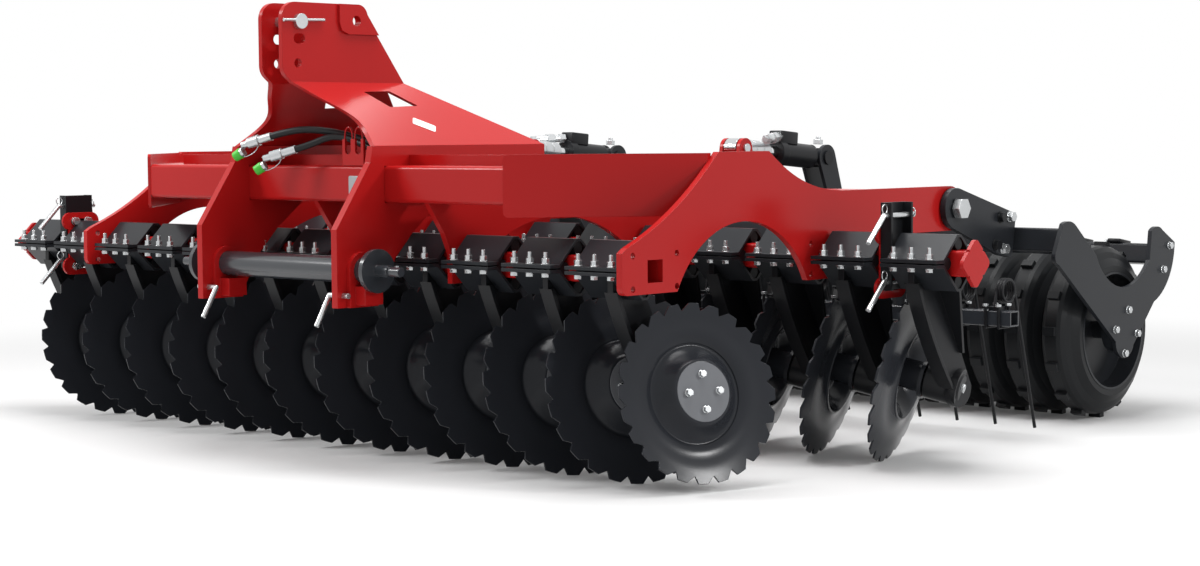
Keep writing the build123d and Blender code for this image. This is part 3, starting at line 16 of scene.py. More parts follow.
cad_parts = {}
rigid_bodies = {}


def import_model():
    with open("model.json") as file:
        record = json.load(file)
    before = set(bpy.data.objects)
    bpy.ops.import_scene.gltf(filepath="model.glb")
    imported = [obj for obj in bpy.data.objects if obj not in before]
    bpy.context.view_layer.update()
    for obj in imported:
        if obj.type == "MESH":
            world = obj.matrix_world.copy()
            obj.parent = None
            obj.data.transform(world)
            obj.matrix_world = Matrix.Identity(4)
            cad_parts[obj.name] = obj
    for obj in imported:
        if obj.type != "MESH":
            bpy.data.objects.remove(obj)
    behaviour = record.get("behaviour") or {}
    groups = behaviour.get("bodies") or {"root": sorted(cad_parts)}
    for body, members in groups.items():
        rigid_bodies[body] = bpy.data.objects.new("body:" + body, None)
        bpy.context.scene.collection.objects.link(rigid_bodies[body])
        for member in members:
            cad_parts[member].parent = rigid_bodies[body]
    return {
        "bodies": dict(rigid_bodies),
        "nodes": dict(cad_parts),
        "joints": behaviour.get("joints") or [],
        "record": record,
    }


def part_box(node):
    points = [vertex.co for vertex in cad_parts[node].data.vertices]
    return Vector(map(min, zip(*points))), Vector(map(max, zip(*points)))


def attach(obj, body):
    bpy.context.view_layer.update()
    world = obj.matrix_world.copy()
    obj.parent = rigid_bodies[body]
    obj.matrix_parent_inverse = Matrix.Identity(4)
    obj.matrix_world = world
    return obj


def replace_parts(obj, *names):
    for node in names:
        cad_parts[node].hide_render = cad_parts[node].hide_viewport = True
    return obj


LOG = logging.getLogger("harrow")
MM = 0.001
X_AXIS = Vector((1.0, 0.0, 0.0))
Y_AXIS = Vector((0.0, 1.0, 0.0))
Z_AXIS = Vector((0.0, 0.0, 1.0))
# Discs in each row, and how far a disc's clamp lies from its rim's middle
DISCS_IN_ROW = 12
CLAMP_OFFSET = 0.1875
ARM_TRAIL = 0.125
BAR_HEIGHT = 0.618
# Shader settings that all finishes share
COAT_ROUGHNESS = 0.12
PATCH_DETAIL = 3.0
PATCH_ROUGHNESS = 0.6
GRAIN_DETAIL = 2.0
GRAIN_STRENGTH = 0.6
EDGE_SAMPLES = 4
# Sockets of a Mix node that mixes colours
MIX_FACTOR = 0
MIX_FIRST = 6
MIX_SECOND = 7
MIX_COLOUR = 2


class Side(Enum):
    """The machine's two sides, as the sign of X."""

    LEFT = 1
    RIGHT = -1


class Row(Enum):
    """The two disc rows, as the sign of X that a disc's hollow side faces."""

    FRONT = 1
    REAR = -1

    @property
    def label(self) -> str:
        """Give the row's word in the names of its discs."""
        return self.name.lower()


def linear(hex_colour: str) -> tuple[float, float, float, float]:
    """Turn an sRGB hex colour into linear RGBA.

    Args:
        hex_colour: Colour such as "#A82828".

    Returns:
        Red, green, blue and an alpha of 1, all linear.
    """
    channels = []
    # The curve of the sRGB standard
    for start in (1, 3, 5):
        value = int(hex_colour[start : start + 2], 16) / 255
        channels.append(value / 12.92 if value <= 0.04045 else ((value + 0.055) / 1.055) ** 2.4)
    return (channels[0], channels[1], channels[2], 1.0)


def add_node(
    tree: bpy.types.NodeTree,
    kind: str,
    settings: dict[str, object] | None = None,
    links: dict[str, bpy.types.NodeSocket] | None = None,
) -> bpy.types.Node:
    """Add a node with its settings and its links.

    Args:
        tree: Node tree that takes the node.
        kind: Blender's name of the node.
        settings: Values by input name, or by attribute where no input has that name.
        links: Output sockets by the name of the input that they feed.

    Returns:
        The new node.
    """
    node = tree.nodes.new(kind)
    for name, value in (settings or {}).items():
        if name in node.inputs:
            node.inputs[name].default_value = value
        else:
            setattr(node, name, value)
    for name, socket in (links or {}).items():
        tree.links.new(socket, node.inputs[name])
    return node


@dataclass(frozen=True)
class Finish:
    """A surface of the machine: its material's name, colours and gloss.

    Attributes:
        name: Common name of the real material.
        slot: The record's material slot that it belongs to.
        colour: Main sRGB colour.
        shade: sRGB colour of the patches that the main colour wanders to.
        roughness: Microfacet roughness.
        metallic: 1 for bare metal.
        specular: Strength of the surface's own mirror layer, 0.5 for plain paint.
        coat: Weight of a clear top layer.
        patch_mm: Size of the patches of tone.
        grain_mm: Spacing of the surface's unevenness.
        grain_depth_mm: Height of that unevenness.
        edge_mm: Radius that sharp edges are seen with.
    """

    name: str
    slot: str
    colour: str
    shade: str
    roughness: float
    metallic: float = 0.0
    specular: float = 0.5
    coat: float = 0.0
    patch_mm: float = 180.0
    grain_mm: float = 6.0
    grain_depth_mm: float = 0.03
    edge_mm: float = 2.0

    def material(self) -> bpy.types.Material:
        """Make the material, or find it where it exists.

        Returns:
            The material.
        """
        made = bpy.data.materials.get(self.name)
        if made is not None:
            return made
        made = bpy.data.materials.new(self.name)
        made.use_nodes = True
        tree = made.node_tree
        shader = tree.nodes["Principled BSDF"]
        shader.inputs["Roughness"].default_value = self.roughness
        shader.inputs["Metallic"].default_value = self.metallic
        shader.inputs["Specular IOR Level"].default_value = self.specular
        shader.inputs["Coat Weight"].default_value = self.coat
        shader.inputs["Coat Roughness"].default_value = COAT_ROUGHNESS
        place = add_node(tree, "ShaderNodeTexCoord")
        patches = add_node(
            tree,
            "ShaderNodeTexNoise",
            {
                "Scale": 1 / (self.patch_mm * MM),
                "Detail": PATCH_DETAIL,
                "Roughness": PATCH_ROUGHNESS,
            },
            {"Vector": place.outputs["Object"]},
        )
        tone = add_node(tree, "ShaderNodeMix", {"data_type": "RGBA"})
        tone.inputs[MIX_FIRST].default_value = linear(self.shade)
        tone.inputs[MIX_SECOND].default_value = linear(self.colour)
        tree.links.new(patches.outputs["Fac"], tone.inputs[MIX_FACTOR])
        tree.links.new(tone.outputs[MIX_COLOUR], shader.inputs["Base Color"])
        grain = add_node(
            tree,
            "ShaderNodeTexNoise",
            {"Scale": 1 / (self.grain_mm * MM), "Detail": GRAIN_DETAIL},
            {"Vector": place.outputs["Object"]},
        )
        edge = add_node(
            tree, "ShaderNodeBevel", {"samples": EDGE_SAMPLES, "Radius": self.edge_mm * MM}
        )
        bump = add_node(
            tree,
            "ShaderNodeBump",
            {"Distance": self.grain_depth_mm * MM, "Strength": GRAIN_STRENGTH},
            {"Height": grain.outputs["Fac"], "Normal": edge.outputs["Normal"]},
        )
        tree.links.new(bump.outputs["Normal"], shader.inputs["Normal"])
        return made


# Gloss enamel over blasted steel: wet-looking red with a faint orange peel.
RED = Finish(
    "gloss_red_enamel", "red_paint", "#AE1A1A", "#A81818", 0.24, specular=0.2, grain_mm=9.0
)
# Powder coat in dark grey: soft wide highlights.
GRAPHITE = Finish(
    "satin_graphite_powder_coat", "graphite_paint", "#25272B", "#202225", 0.3, specular=0.2
)
# The lower-link bar and the tine bar are a grey enamel, polished by its wax.
BAR_GRAPHITE = Finish(
    "waxed_graphite_enamel", "graphite_paint", "#34373C", "#2D3034", 0.2, specular=0.5, coat=0.3
)
# Black powder coat on small brackets and barrels. On the disc arms the same black is painted shade,
# darkening arms whose own paint is graphite.
BLACK = Finish("satin_black_powder_coat", "black_paint", "#1A1B1E", "#151618", 0.34, specular=0.2)
# Hardened boron steel with a thin dark dip: smooth, with a tight highlight.
DISC = Finish("dipped_boron_steel", "disc_paint", "#2B2D32", "#26282C", 0.2, specular=0.15)
# Hub flange: the same dip over a milled face, duller and paler.
HUB = Finish("milled_hub_steel", "disc_paint", "#727478", "#6B6D71", 0.55, specular=0.2)
# Bright zinc plate on fasteners and pins: pale, with a soft sheen.
ZINC = Finish("bright_zinc_plate", "zinc_steel", "#CFD1D2", "#B9BCBE", 0.26, metallic=0.85)
# Moulded natural rubber of the packer rings and cords.
RUBBER = Finish(
    "moulded_black_rubber", "rubber", "#191B1D", "#141517", 0.4, specular=0.18, grain_mm=12.0
)
# Ground and chromed piston rod.
CHROME = Finish("hard_chrome_rod", "chrome_rod", "#D8DADB", "#CDD0D2", 0.1, metallic=1.0)
# Smooth synthetic cover of a hydraulic hose.
HOSE = Finish("hydraulic_hose_cover", "hose_rubber", "#17181A", "#121314", 0.4, specular=0.3)
# Soft green PVC of the couplings' dust caps.
CAP = Finish("green_pvc_cap", "hose_rubber", "#4FC23F", "#49B83A", 0.4, specular=0.3)
# Blank white vinyl plate.
VINYL = Finish("white_vinyl", "red_paint", "#F0F0EE", "#E9E9E7", 0.5, grain_depth_mm=0.005)
# Bare rolled aluminium of a blank plate.
BARE = Finish("rolled_aluminium", "zinc_steel", "#A9ABAD", "#9C9EA0", 0.4, metallic=0.6)

SLOT_FINISHES = {
    "red_paint": RED,
    "graphite_paint": GRAPHITE,
    "black_paint": BLACK,
    "disc_paint": DISC,
    "zinc_steel": ZINC,
    "rubber": RUBBER,
    "chrome_rod": CHROME,
    "hose_rubber": HOSE,
}
# Nodes with a finish of their own. The disc arms take the black finish in place of their graphite
# slot: painted shade, dark as the shade under the clamps.
OWN_FINISHES = {"lower_link_bar": BAR_GRAPHITE, "tine_bar": BAR_GRAPHITE, "disc_arms": BLACK}


class Kit:
    """Gathers bmesh shapes of one piece and turns them into an object on a body.

    Attributes:
        WASHER_SHARE: A washer's radius as a share of its nut's width across flats.
        WASHER_SIDES: Sides of a washer.
        THREAD_SIDES: Sides of a thread's tail.
        BEVEL_STEPS: Segments of a rounded edge.
    """

    WASHER_SHARE = 0.62
    WASHER_SIDES = 12
    THREAD_SIDES = 8
    BEVEL_STEPS = 3

    def __init__(self, *finishes: Finish, mesh: bmesh.types.BMesh | None = None) -> None:
        """Start a piece.

        Args:
            finishes: Finishes of the piece, the first one in use at the start.
            mesh: Mesh to go on from, an empty one if left out.
        """
        self.mesh = bmesh.new() if mesh is None else mesh
        self.finishes = finishes
        self.finish_index = 0

    def use(self, finish: Finish) -> None:
        """Give the next shapes a finish.

        Args:
            finish: One of the piece's finishes.
        """
        self.finish_index = self.finishes.index(finish)

    def _mark(self, verts: Iterable[bmesh.types.BMVert]) -> None:
        """Give the faces of some vertices the finish in use.

        Args:
            verts: The vertices.
        """
        for vert in verts:
            for face in vert.link_faces:
                face.material_index = self.finish_index

    @staticmethod
    def stand(at: Vector, axis: Vector) -> Matrix:
        """Work out the matrix that stands a shape's Z on an axis at a point.

        Args:
            at: Where the shape's origin goes.
            axis: Direction of its Z.

        Returns:
            The placing matrix.
        """
        spin = Z_AXIS.rotation_difference(axis.normalized()).to_matrix().to_4x4()
        return Matrix.Translation(at) @ spin

    def prism(
        self,
        at: Vector,
        axis: Vector,
        radius: float,
        height: float,
        sides: int = 16,
        tip: float | None = None,
    ) -> None:
        """Add a closed prism, or a cone where tip differs from radius.

        Args:
            at: Centre of its foot.
            axis: Direction it rises in.
            radius: Radius of its corners at the foot.
            height: Its height.
            sides: Number of sides.
            tip: Radius at the top, the same as radius if left out.
        """
        made = bmesh.ops.create_cone(
            self.mesh,
            cap_ends=True,
            segments=sides,
            radius1=radius,
            radius2=radius if tip is None else tip,
            depth=height,
            matrix=self.stand(at + axis.normalized() * height / 2, axis),
        )
        self._mark(made["verts"])

    def hexagon(self, at: Vector, axis: Vector, across: float, height: float) -> None:
        """Add a hexagon nut or head.

        Args:
            at: Centre of its foot.
            axis: Direction it rises in.
            across: Width across flats.
            height: Its height.
        """
        self.prism(at, axis, across / math.sqrt(3), height, 6)

    def block(
        self, centre: Vector, size: Vector, turn: Matrix, bevel: float, plate: bool = False
    ) -> None:
        """Add a box with rounded edges, or a plate with rounded corners.

        Args:
            centre: Its centre.
            size: Its size along its own axes.
            turn: Matrix of its axes.
            bevel: Radius of the rounding.
            plate: True where only the four edges along its Z are rounded.
        """
        before = set(self.mesh.verts)
        scale = Matrix.Diagonal((size.x, size.y, size.z, 1.0))
        made = bmesh.ops.create_cube(self.mesh, size=1.0, matrix=scale)
        edges = {edge for vert in made["verts"] for edge in vert.link_edges}
        if plate:
            edges = {e for e in edges if abs(e.verts[0].co.z - e.verts[1].co.z) > size.z / 2}
        bmesh.ops.bevel(
            self.mesh,
            geom=list(edges),
            offset=bevel,
            offset_type="OFFSET",
            segments=self.BEVEL_STEPS,
            profile=0.5,
            affect="EDGES",
            material=-1,
            clamp_overlap=True,
        )
        verts = [vert for vert in self.mesh.verts if vert not in before]
        bmesh.ops.transform(self.mesh, matrix=Matrix.Translation(centre) @ turn, verts=verts)
        self._mark(verts)

    def ring(self, at: Vector, axis: Vector, radius: float, wire: float, sides: int = 20) -> None:
        """Add a closed wire ring.

        Args:
            at: Its centre.
            axis: The direction it is looked through.
            radius: Radius of the wire's middle.
            wire: Radius of the wire.
            sides: Number of stations around.
        """
        angles = [2 * math.pi * i / sides for i in range(sides + 1)]
        place = self.stand(at, axis)
        loop = [place @ Vector((radius * math.cos(a), radius * math.sin(a), 0)) for a in angles]
        self.rod(loop, wire)

    def rod(self, points: Sequence[Vector], radius: float, sides: int = 10) -> None:
        """Add a round bar that runs through the points.

        Args:
            points: Its middle line.
            radius: Its radius.
            sides: Number of sides.
        """
        runs = [(b - a).normalized() for a, b in zip(points, points[1:])]
        ways = [runs[0]]
        ways += [(a + b).normalized() for a, b in zip(runs, runs[1:])]
        ways.append(runs[-1])
        made = bmesh.ops.create_circle(
            self.mesh,
            cap_ends=True,
            segments=sides,
            radius=radius,
            matrix=self.stand(points[0], ways[0] * -1),
        )
        ring = list(made["verts"])
        everything = list(ring)
        edges = list({edge for vert in ring for edge in vert.link_edges})
        for before, after, old, new in zip(points, points[1:], ways, ways[1:]):
            grown = bmesh.ops.extrude_edge_only(self.mesh, edges=edges)["geom"]
            ring = [part for part in grown if isinstance(part, bmesh.types.BMVert)]
            edges = [part for part in grown if isinstance(part, bmesh.types.BMEdge)]
            turn = old.rotation_difference(new).to_matrix().to_4x4()
            move = Matrix.Translation(after) @ turn @ Matrix.Translation(-before)
            bmesh.ops.transform(self.mesh, matrix=move, verts=ring)
            everything += ring
        bmesh.ops.holes_fill(self.mesh, edges=edges, sides=0)
        self._mark(everything)

    def bolt(
        self,
        seat: Vector,
        axis: Vector,
        across: float,
        head: float,
        washer: float = 0.003,
        tail: float = 0.0,
        shank: float = 0.0,
    ) -> None:
        """Add a hexagon head or nut on its washer, with the thread's tail where one shows.

        Args:
            seat: Where the washer sits.
            axis: Direction out of the seat.
            across: Width across flats.
            head: Height of the head or nut.
            washer: Thickness of the washer.
            tail: Length of thread past the nut.
            shank: Radius of that thread.
        """
        self.prism(seat, axis, across * self.WASHER_SHARE, washer, self.WASHER_SIDES)
        self.hexagon(seat + axis * washer, axis, across, head)
        if tail:
            self.prism(seat + axis * (washer + head), axis, shank, tail, self.THREAD_SIDES)

    def piece(self, name: str, body: str, smooth_deg: float = 32.0) -> bpy.types.Object:
        """Make the object, shade it and let it ride on a body.

        Args:
            name: The piece's name.
            body: CAD body that carries it.
            smooth_deg: Edges sharper than this stay sharp.

        Returns:
            The finished object.
        """
        bmesh.ops.recalc_face_normals(self.mesh, faces=self.mesh.faces[:])
        data = bpy.data.meshes.new(name)
        self.mesh.to_mesh(data)
        self.mesh.free()
        data.shade_smooth()
        data.set_sharp_from_angle(angle=math.radians(smooth_deg))
        for finish in self.finishes:
            data.materials.append(finish.material())
        made = bpy.data.objects.new(name, data)
        bpy.context.scene.collection.objects.link(made)
        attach(made, body)
        LOG.info("%s: %d faces on %s", name, len(data.polygons), body)
        return made


@dataclass
class Frame:
    """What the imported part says: its joints, where its discs are and each node's slot."""

    loaded: dict

    def joint(self, name: str) -> dict:
        """Find a joint of the record.

        Args:
            name: The joint's name.

        Returns:
            The joint's entry.
        """
        return next(item for item in self.loaded["joints"] if item["name"] == name)

    def disc(self, row: Row, number: int) -> tuple[str, Vector, Vector]:
        """Say where a disc is.

        Args:
            row: The disc's row.
            number: Its number from the right-hand end, from 1.

        Returns:
            The disc's body, the centre of its rim and the way its hollow side faces.
        """
        body = f"disc_{row.label}_{number:02d}"
        spin = self.joint(f"{body}_spin")
        return body, Vector(spin["pos_m"]), Vector(spin["axis"]).normalized()

    def clamp(self, row: Row, number: int) -> Vector:
        """Say where a disc's clamp is.

        Args:
            row: The disc's row.
            number: Its number from the right-hand end, from 1.

        Returns:
            The clamp's middle, on the tool bar.
        """
        _, rim, _ = self.disc(row, number)
        return Vector((rim.x - row.value * CLAMP_OFFSET, rim.y - ARM_TRAIL, BAR_HEIGHT))

    def dress_nodes(self) -> None:
        """Give every CAD node its own finish or that of its slot."""
        for entry in self.loaded["record"]["subparts"]:
            finish = OWN_FINISHES.get(entry["node"], SLOT_FINISHES[entry["material_slot"]])
            mesh = self.loaded["nodes"][entry["node"]].data
            mesh.materials.clear()
            mesh.materials.append(finish.material())


@dataclass
class ClampBolts:
    """Bolts through the flanges of the diamond clamps, nuts above and heads below."""

    bolt_pitch: float = 0.062
    bolt_reach: float = 0.100
    flange_half: float = 0.012
    nut_across: float = 0.020
    nut_height: float = 0.014
    head_height: float = 0.009
    tail: float = 0.018
    thread: float = 0.006

    def build(self, frame: Frame) -> None:
        """Make one piece of bolts for each row.

        Args:
            frame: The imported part.
        """
        for row in Row:
            kit = Kit(ZINC)
            for number in range(1, DISCS_IN_ROW + 1):
                for flank in (1, -1):
                    for station in (-1, 0, 1):
                        offset = Vector((station * self.bolt_pitch, flank * self.bolt_reach, 0))
                        self.add_bolt(kit, frame.clamp(row, number) + offset)
            kit.piece(f"clamp_bolts_{row.label}", "frame")

    def add_bolt(self, kit: Kit, middle: Vector) -> None:
        """Add a bolt with its nut above the flanges and its head below.

        Args:
            kit: The row's bolts.
            middle: Where the bolt crosses the flanges' joint.
        """
        seat = Z_AXIS * self.flange_half
        kit.bolt(
            middle + seat,
            Z_AXIS,
            self.nut_across,
            self.nut_height,
            tail=self.tail,
            shank=self.thread,
        )
        kit.bolt(middle - seat, -Z_AXIS, self.nut_across, self.head_height)


@dataclass
class DiscBlades:
    """The discs: a notched dish, a lipped bell that rises to the hub seat, and the hub behind.

    A profile is a row of radius and height, measured from the full disc's rim plane toward the
    hollow side. A tooth is a row of places along the rim, from the line of its pitch, each with
    the share of the notch's depth there.
    """

    full_radius: float = 0.280
    outer_radius: float = 0.255
    dish_radius: float = 1.300
    thickness: float = 0.006
    dish_stations: tuple[float, ...] = (0.245, 0.230, 0.215)
    shoulder: tuple[tuple[float, float], ...] = (
        (0.200, -0.0144),
        (0.188, -0.0152),
        (0.176, -0.0163),
        (0.165, -0.0182),
        (0.156, -0.0206),
        (0.149, -0.0234),
        (0.1445, -0.0257),
        (0.1435, -0.0285),
        (0.1400, -0.0300),
        (0.1360, -0.0295),
    )
    bell: tuple[tuple[float, float], ...] = (
        (0.128, -0.0245),
        (0.117, -0.0150),
        (0.106, -0.0030),
        (0.098, 0.0080),
        (0.092, 0.0165),
        (0.0885, 0.0192),
        (0.0850, 0.0200),
    )
    hub_back: tuple[tuple[float, float], ...] = (
        (0.085, 0.014),
        (0.046, 0.014),
        (0.046, -0.068),
        (0.062, -0.068),
        (0.062, -0.080),
        (0.030, -0.080),
        (0.030, -0.090),
        (0.0, -0.090),
    )
    notches: int = 24
    notch_depth: float = 0.020
    merge_distance: float = 1e-6
    tooth: tuple[tuple[float, float], ...] = (
        (-0.018, 0.0),
        (0.0055, 1.0),
        (0.0085, 1.0),
        (0.018, 0.0),
        (0.028, 0.0),
        (0.038, 0.0),
    )

    def dish(self, radius: float) -> float:
        """Work out the height of the spherical zone.

        Args:
            radius: Distance from the disc's axis.

        Returns:
            Height from the full disc's rim plane.
        """
        rim = math.sqrt(self.dish_radius**2 - self.full_radius**2)
        return rim - math.sqrt(self.dish_radius**2 - radius**2)

    def profile(self, radius: float) -> list[Vector]:
        """Lay out half the disc's outline, from the axis over the front, round the rim and back.

        Args:
            radius: The disc's radius.

        Returns:
            Points in the XZ plane.
        """
        stations = [r for r in self.dish_stations if r < radius - self.notch_depth]
        dish = [(radius, self.dish(radius))] + [(r, self.dish(r)) for r in stations]
        front = dish + list(self.shoulder) + list(self.bell)
        back = [(r, height - self.thickness) for r, height in front]
        outline = [(0.0, self.bell[-1][1])] + front[::-1] + back[:-1] + list(self.hub_back)
        return [Vector((r, 0, height)) for r, height in outline]

    def blank(self, radius: float) -> bmesh.types.BMesh:
        """Spin the profile and pull the rim in at its notches.

        Args:
            radius: The disc's radius.

        Returns:
            The disc's mesh, its axis on Z.
        """
        mesh = bmesh.new()
        points = self.profile(radius)
        verts = [mesh.verts.new(point) for point in points]
        edges = [mesh.edges.new(pair) for pair in zip(verts, verts[1:])]
        columns = self.notches * len(self.tooth)
        bmesh.ops.spin(
            mesh,
            geom=verts + edges,
            cent=(0, 0, 0),
            axis=(0, 0, 1),
            angle=2 * math.pi,
            steps=columns,
            use_merge=True,
            use_duplicate=False,
        )
        bmesh.ops.remove_doubles(mesh, verts=mesh.verts[:], dist=self.merge_distance)
        for vert in mesh.verts:
            if math.hypot(vert.co.x, vert.co.y) > radius - self.notch_depth / 2:
                self.notch(vert, radius, columns)
        return mesh

    def notch(self, vert: bmesh.types.BMVert, radius: float, columns: int) -> None:
        """Move a rim vertex to its place on the toothed edge.

        Args:
            vert: The vertex.
            radius: The disc's radius.
            columns: Stations around the disc.
        """
        column = round(math.atan2(vert.co.y, vert.co.x) / (2 * math.pi) * columns) % columns
        number, station = divmod(column, len(self.tooth))
        along, depth = self.tooth[station]
        angle = 2 * math.pi * number / self.notches + along / radius
        reach = radius - depth * self.notch_depth
        vert.co.x = reach * math.cos(angle)
        vert.co.y = reach * math.sin(angle)
        vert.co.z += self.dish(reach) - self.dish(radius)

    def build(self, frame: Frame) -> None:
        """Make a blade for each disc in its node's place.

        Args:
            frame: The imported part.
        """
        blanks = {radius: self.blank(radius) for radius in (self.full_radius, self.outer_radius)}
        for row in Row:
            outer = DISCS_IN_ROW if row is Row.FRONT else 1
            for number in range(1, DISCS_IN_ROW + 1):
                body, rim, way = frame.disc(row, number)
                radius = self.outer_radius if number == outer else self.full_radius
                kit = Kit(DISC, mesh=blanks[radius].copy())
                bmesh.ops.transform(kit.mesh, matrix=Kit.stand(rim, way), verts=kit.mesh.verts[:])
                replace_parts(kit.piece(f"disc_blade_{row.label}_{number:02d}", body), body)
        for blank in blanks.values():
            blank.free()


@dataclass
class DiscHubs:
    """Hub faces with their bolts on the hollow side of each disc, and caps behind the arms."""

    face_rise: float = 0.0199
    face_radius: float = 0.0848
    face_height: float = 0.0015
    face_chamfer: float = 0.001
    face_sides: int = 48
    bolts: int = 4
    bolt_circle: float = 0.050
    bolt_across: float = 0.018
    bolt_height: float = 0.011
    cap_depth: float = 0.1859
    cap_radius: float = 0.044
    cap_height: float = 0.005
    cap_taper: float = 0.86
    cap_sides: int = 28
    cap_nut_across: float = 0.026
    cap_nut_height: float = 0.007

    def build(self, frame: Frame) -> None:
        """Make one hub face for each disc and one piece of caps for each row.

        Args:
            frame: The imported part.
        """
        for row in Row:
            caps = Kit(BLACK, ZINC)
            for number in range(1, DISCS_IN_ROW + 1):
                body, rim, way = frame.disc(row, number)
                face = self.face(rim, way)
                face.piece(f"hub_face_{row.label}_{number:02d}", body)
                self.add_cap(caps, rim - way * self.cap_depth, -way)
            caps.piece(f"hub_caps_{row.label}", "frame")

    def face(self, rim: Vector, way: Vector) -> Kit:
        """Shape a hub's face with its bolts.

        Args:
            rim: Centre of the disc's rim.
            way: The way its hollow side faces.
        """
        kit = Kit(HUB, ZINC)
        seat = rim + way * self.face_rise
        edge = self.face_radius - self.face_chamfer
        kit.prism(seat, way, self.face_radius, self.face_height, self.face_sides, edge)
        kit.use(ZINC)
        across = way.cross(Z_AXIS).normalized()
        upward = across.cross(way)
        for number in range(self.bolts):
            angle = 2 * math.pi * number / self.bolts
            spoke = across * math.cos(angle) + upward * math.sin(angle)
            at = seat + way * self.face_height + spoke * self.bolt_circle
            kit.bolt(at, way, self.bolt_across, self.bolt_height)
        return kit

    def add_cap(self, caps: Kit, back: Vector, out: Vector) -> None:
        """Add the cap over a bearing's outer end, with its nut.

        Args:
            caps: The row's caps.
            back: Centre of the bearing housing's end.
            out: The way that end faces.
        """
        top = self.cap_radius * self.cap_taper
        caps.use(BLACK)
        caps.prism(back, out, self.cap_radius, self.cap_height, self.cap_sides, top)
        caps.use(ZINC)
        nut = back + out * self.cap_height
        caps.hexagon(nut, out, self.cap_nut_across, self.cap_nut_height)


@dataclass(frozen=True)
class BoltGroup:
    """Bolts of one size on one face of the roller frame.

    Attributes:
        finish: Their finish.
        face: The face's distance from the machine's middle.
        spots: Each bolt's place back from the frame's pivot and up from it.
        across: Width across flats.
        height: Height of the head.
        washer: Thickness of the washer.
    """

    finish: Finish
    face: float
    spots: tuple[tuple[float, float], ...]
    across: float
    height: float
    washer: float


@dataclass
class RollerDress:
    """Fasteners of the roller frame, drawn about its pivot as when the frame is level."""

    axis_back: float = 0.820
    axis_drop: float = 0.320
    arm_face: float = 1.285
    arm_bolts: tuple[tuple[float, float], ...] = ((0.315, 0.012), (0.292, -0.098))
    arm_plugs: tuple[tuple[float, float], ...] = ((0.262, 0.004), (0.245, -0.090))
    arm_across: float = 0.030
    arm_bolt_height: float = 0.016
    arm_plug_height: float = 0.014
    arm_washer: float = 0.004
    plate_face: float = 1.471
    bearing_circle: float = 0.075
    horn_bolts: tuple[tuple[float, float], ...] = ((1.072, 0.006), (1.040, -0.082))
    plate_across: float = 0.022
    plate_bolt_height: float = 0.010
    plate_washer: float = 0.003
    beam_back: float = 1.050
    beam_drop: float = 0.030
    beam_half: float = 0.035
    scrapers: int = 18
    pitch: float = 0.150
    wire: float = 0.006
    wire_bend: float = 0.008
    wire_past: float = 0.012
    wire_shift: float = -0.02
    saddle_shift: float = 0.012
    saddle_size: tuple[float, float, float] = (0.050, 0.082, 0.014)
    saddle_bevel: float = 0.004

    def place(self, frame: Frame) -> Matrix:
        """Work out where the frame stands.

        Args:
            frame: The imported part.

        Returns:
            Matrix from the level drawing to the frame's place.
        """
        pivot = Vector(frame.joint("roller_lift")["pos_m"])
        axle = Vector(frame.joint("roller_spin")["pos_m"]) - pivot
        turn = math.atan2(axle.z, axle.y) - math.atan2(-self.axis_drop, self.axis_back)
        return Matrix.Translation(pivot) @ Matrix.Rotation(turn, 4, "X")

    def build(self, frame: Frame) -> None:
        """Make the bolts, the U-bolts and their saddles.

        Args:
            frame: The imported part.
        """
        place = self.place(frame)
        self.build_bolts(place)
        self.build_scraper_clamps(place)

    def bolt_groups(self) -> tuple[BoltGroup, ...]:
        """List the bolts of one side.

        Returns:
            The arm's bolts, its plugs, and the bolts of the bearing and the horn.
        """
        reach = self.bearing_circle
        bearing = tuple(
            (self.axis_back + back, rise - self.axis_drop)
            for back, rise in ((0.0, reach), (reach, 0.0), (0.0, -reach), (-reach, 0.0))
        )
        arm = (self.arm_across, self.arm_bolt_height, self.arm_washer)
        plug = (self.arm_across, self.arm_plug_height, self.arm_washer)
        plate = (self.plate_across, self.plate_bolt_height, self.plate_washer)
        return (
            BoltGroup(ZINC, self.arm_face, self.arm_bolts, *arm),
            BoltGroup(BLACK, self.arm_face, self.arm_plugs, *plug),
            BoltGroup(ZINC, self.plate_face, bearing + self.horn_bolts, *plate),
        )

    def build_bolts(self, place: Matrix) -> None:
        """Make the bolts of the arms, bearings and horns.

        Args:
            place: Matrix from the level drawing to where the frame stands.
        """
        kit = Kit(ZINC, BLACK)
        for side in Side:
            out = place.to_3x3() @ (X_AXIS * side.value)
            for group in self.bolt_groups():
                kit.use(group.finish)
                for back, rise in group.spots:
                    at = place @ Vector((side.value * group.face, back, rise))
                    kit.bolt(at, out, group.across, group.height, group.washer)
        kit.piece("roller_frame_bolts", "roller_frame")

    def build_scraper_clamps(self, place: Matrix) -> None:
        """Make the U-bolts over the scraper beam, each with a black saddle.

        Args:
            place: Matrix from the level drawing to where the frame stands.
        """
        kit = Kit(ZINC, BLACK)
        axes = place.to_3x3().to_4x4()
        reach = self.beam_half + self.wire
        bent = reach - self.wire_bend
        foot = -reach - self.wire_past
        half = [(-reach, foot), (-reach, bent), (-bent, reach)]
        corners = half + [(-y, z) for y, z in half[::-1]]
        saddle_rise = self.beam_half + self.saddle_size[2] / 2
        for number in range(self.scrapers):
            x = (number - (self.scrapers - 1) / 2) * self.pitch
            middle = Vector((x, self.beam_back, -self.beam_drop))
            wire = [place @ (middle + Vector((self.wire_shift, y, z))) for y, z in corners]
            kit.use(ZINC)
            kit.rod(wire, self.wire)
            kit.use(BLACK)
            saddle = place @ (middle + Vector((self.saddle_shift, 0, saddle_rise)))
            kit.block(saddle, Vector(self.saddle_size), axes, self.saddle_bevel)
        kit.piece("scraper_clamps", "roller_frame")


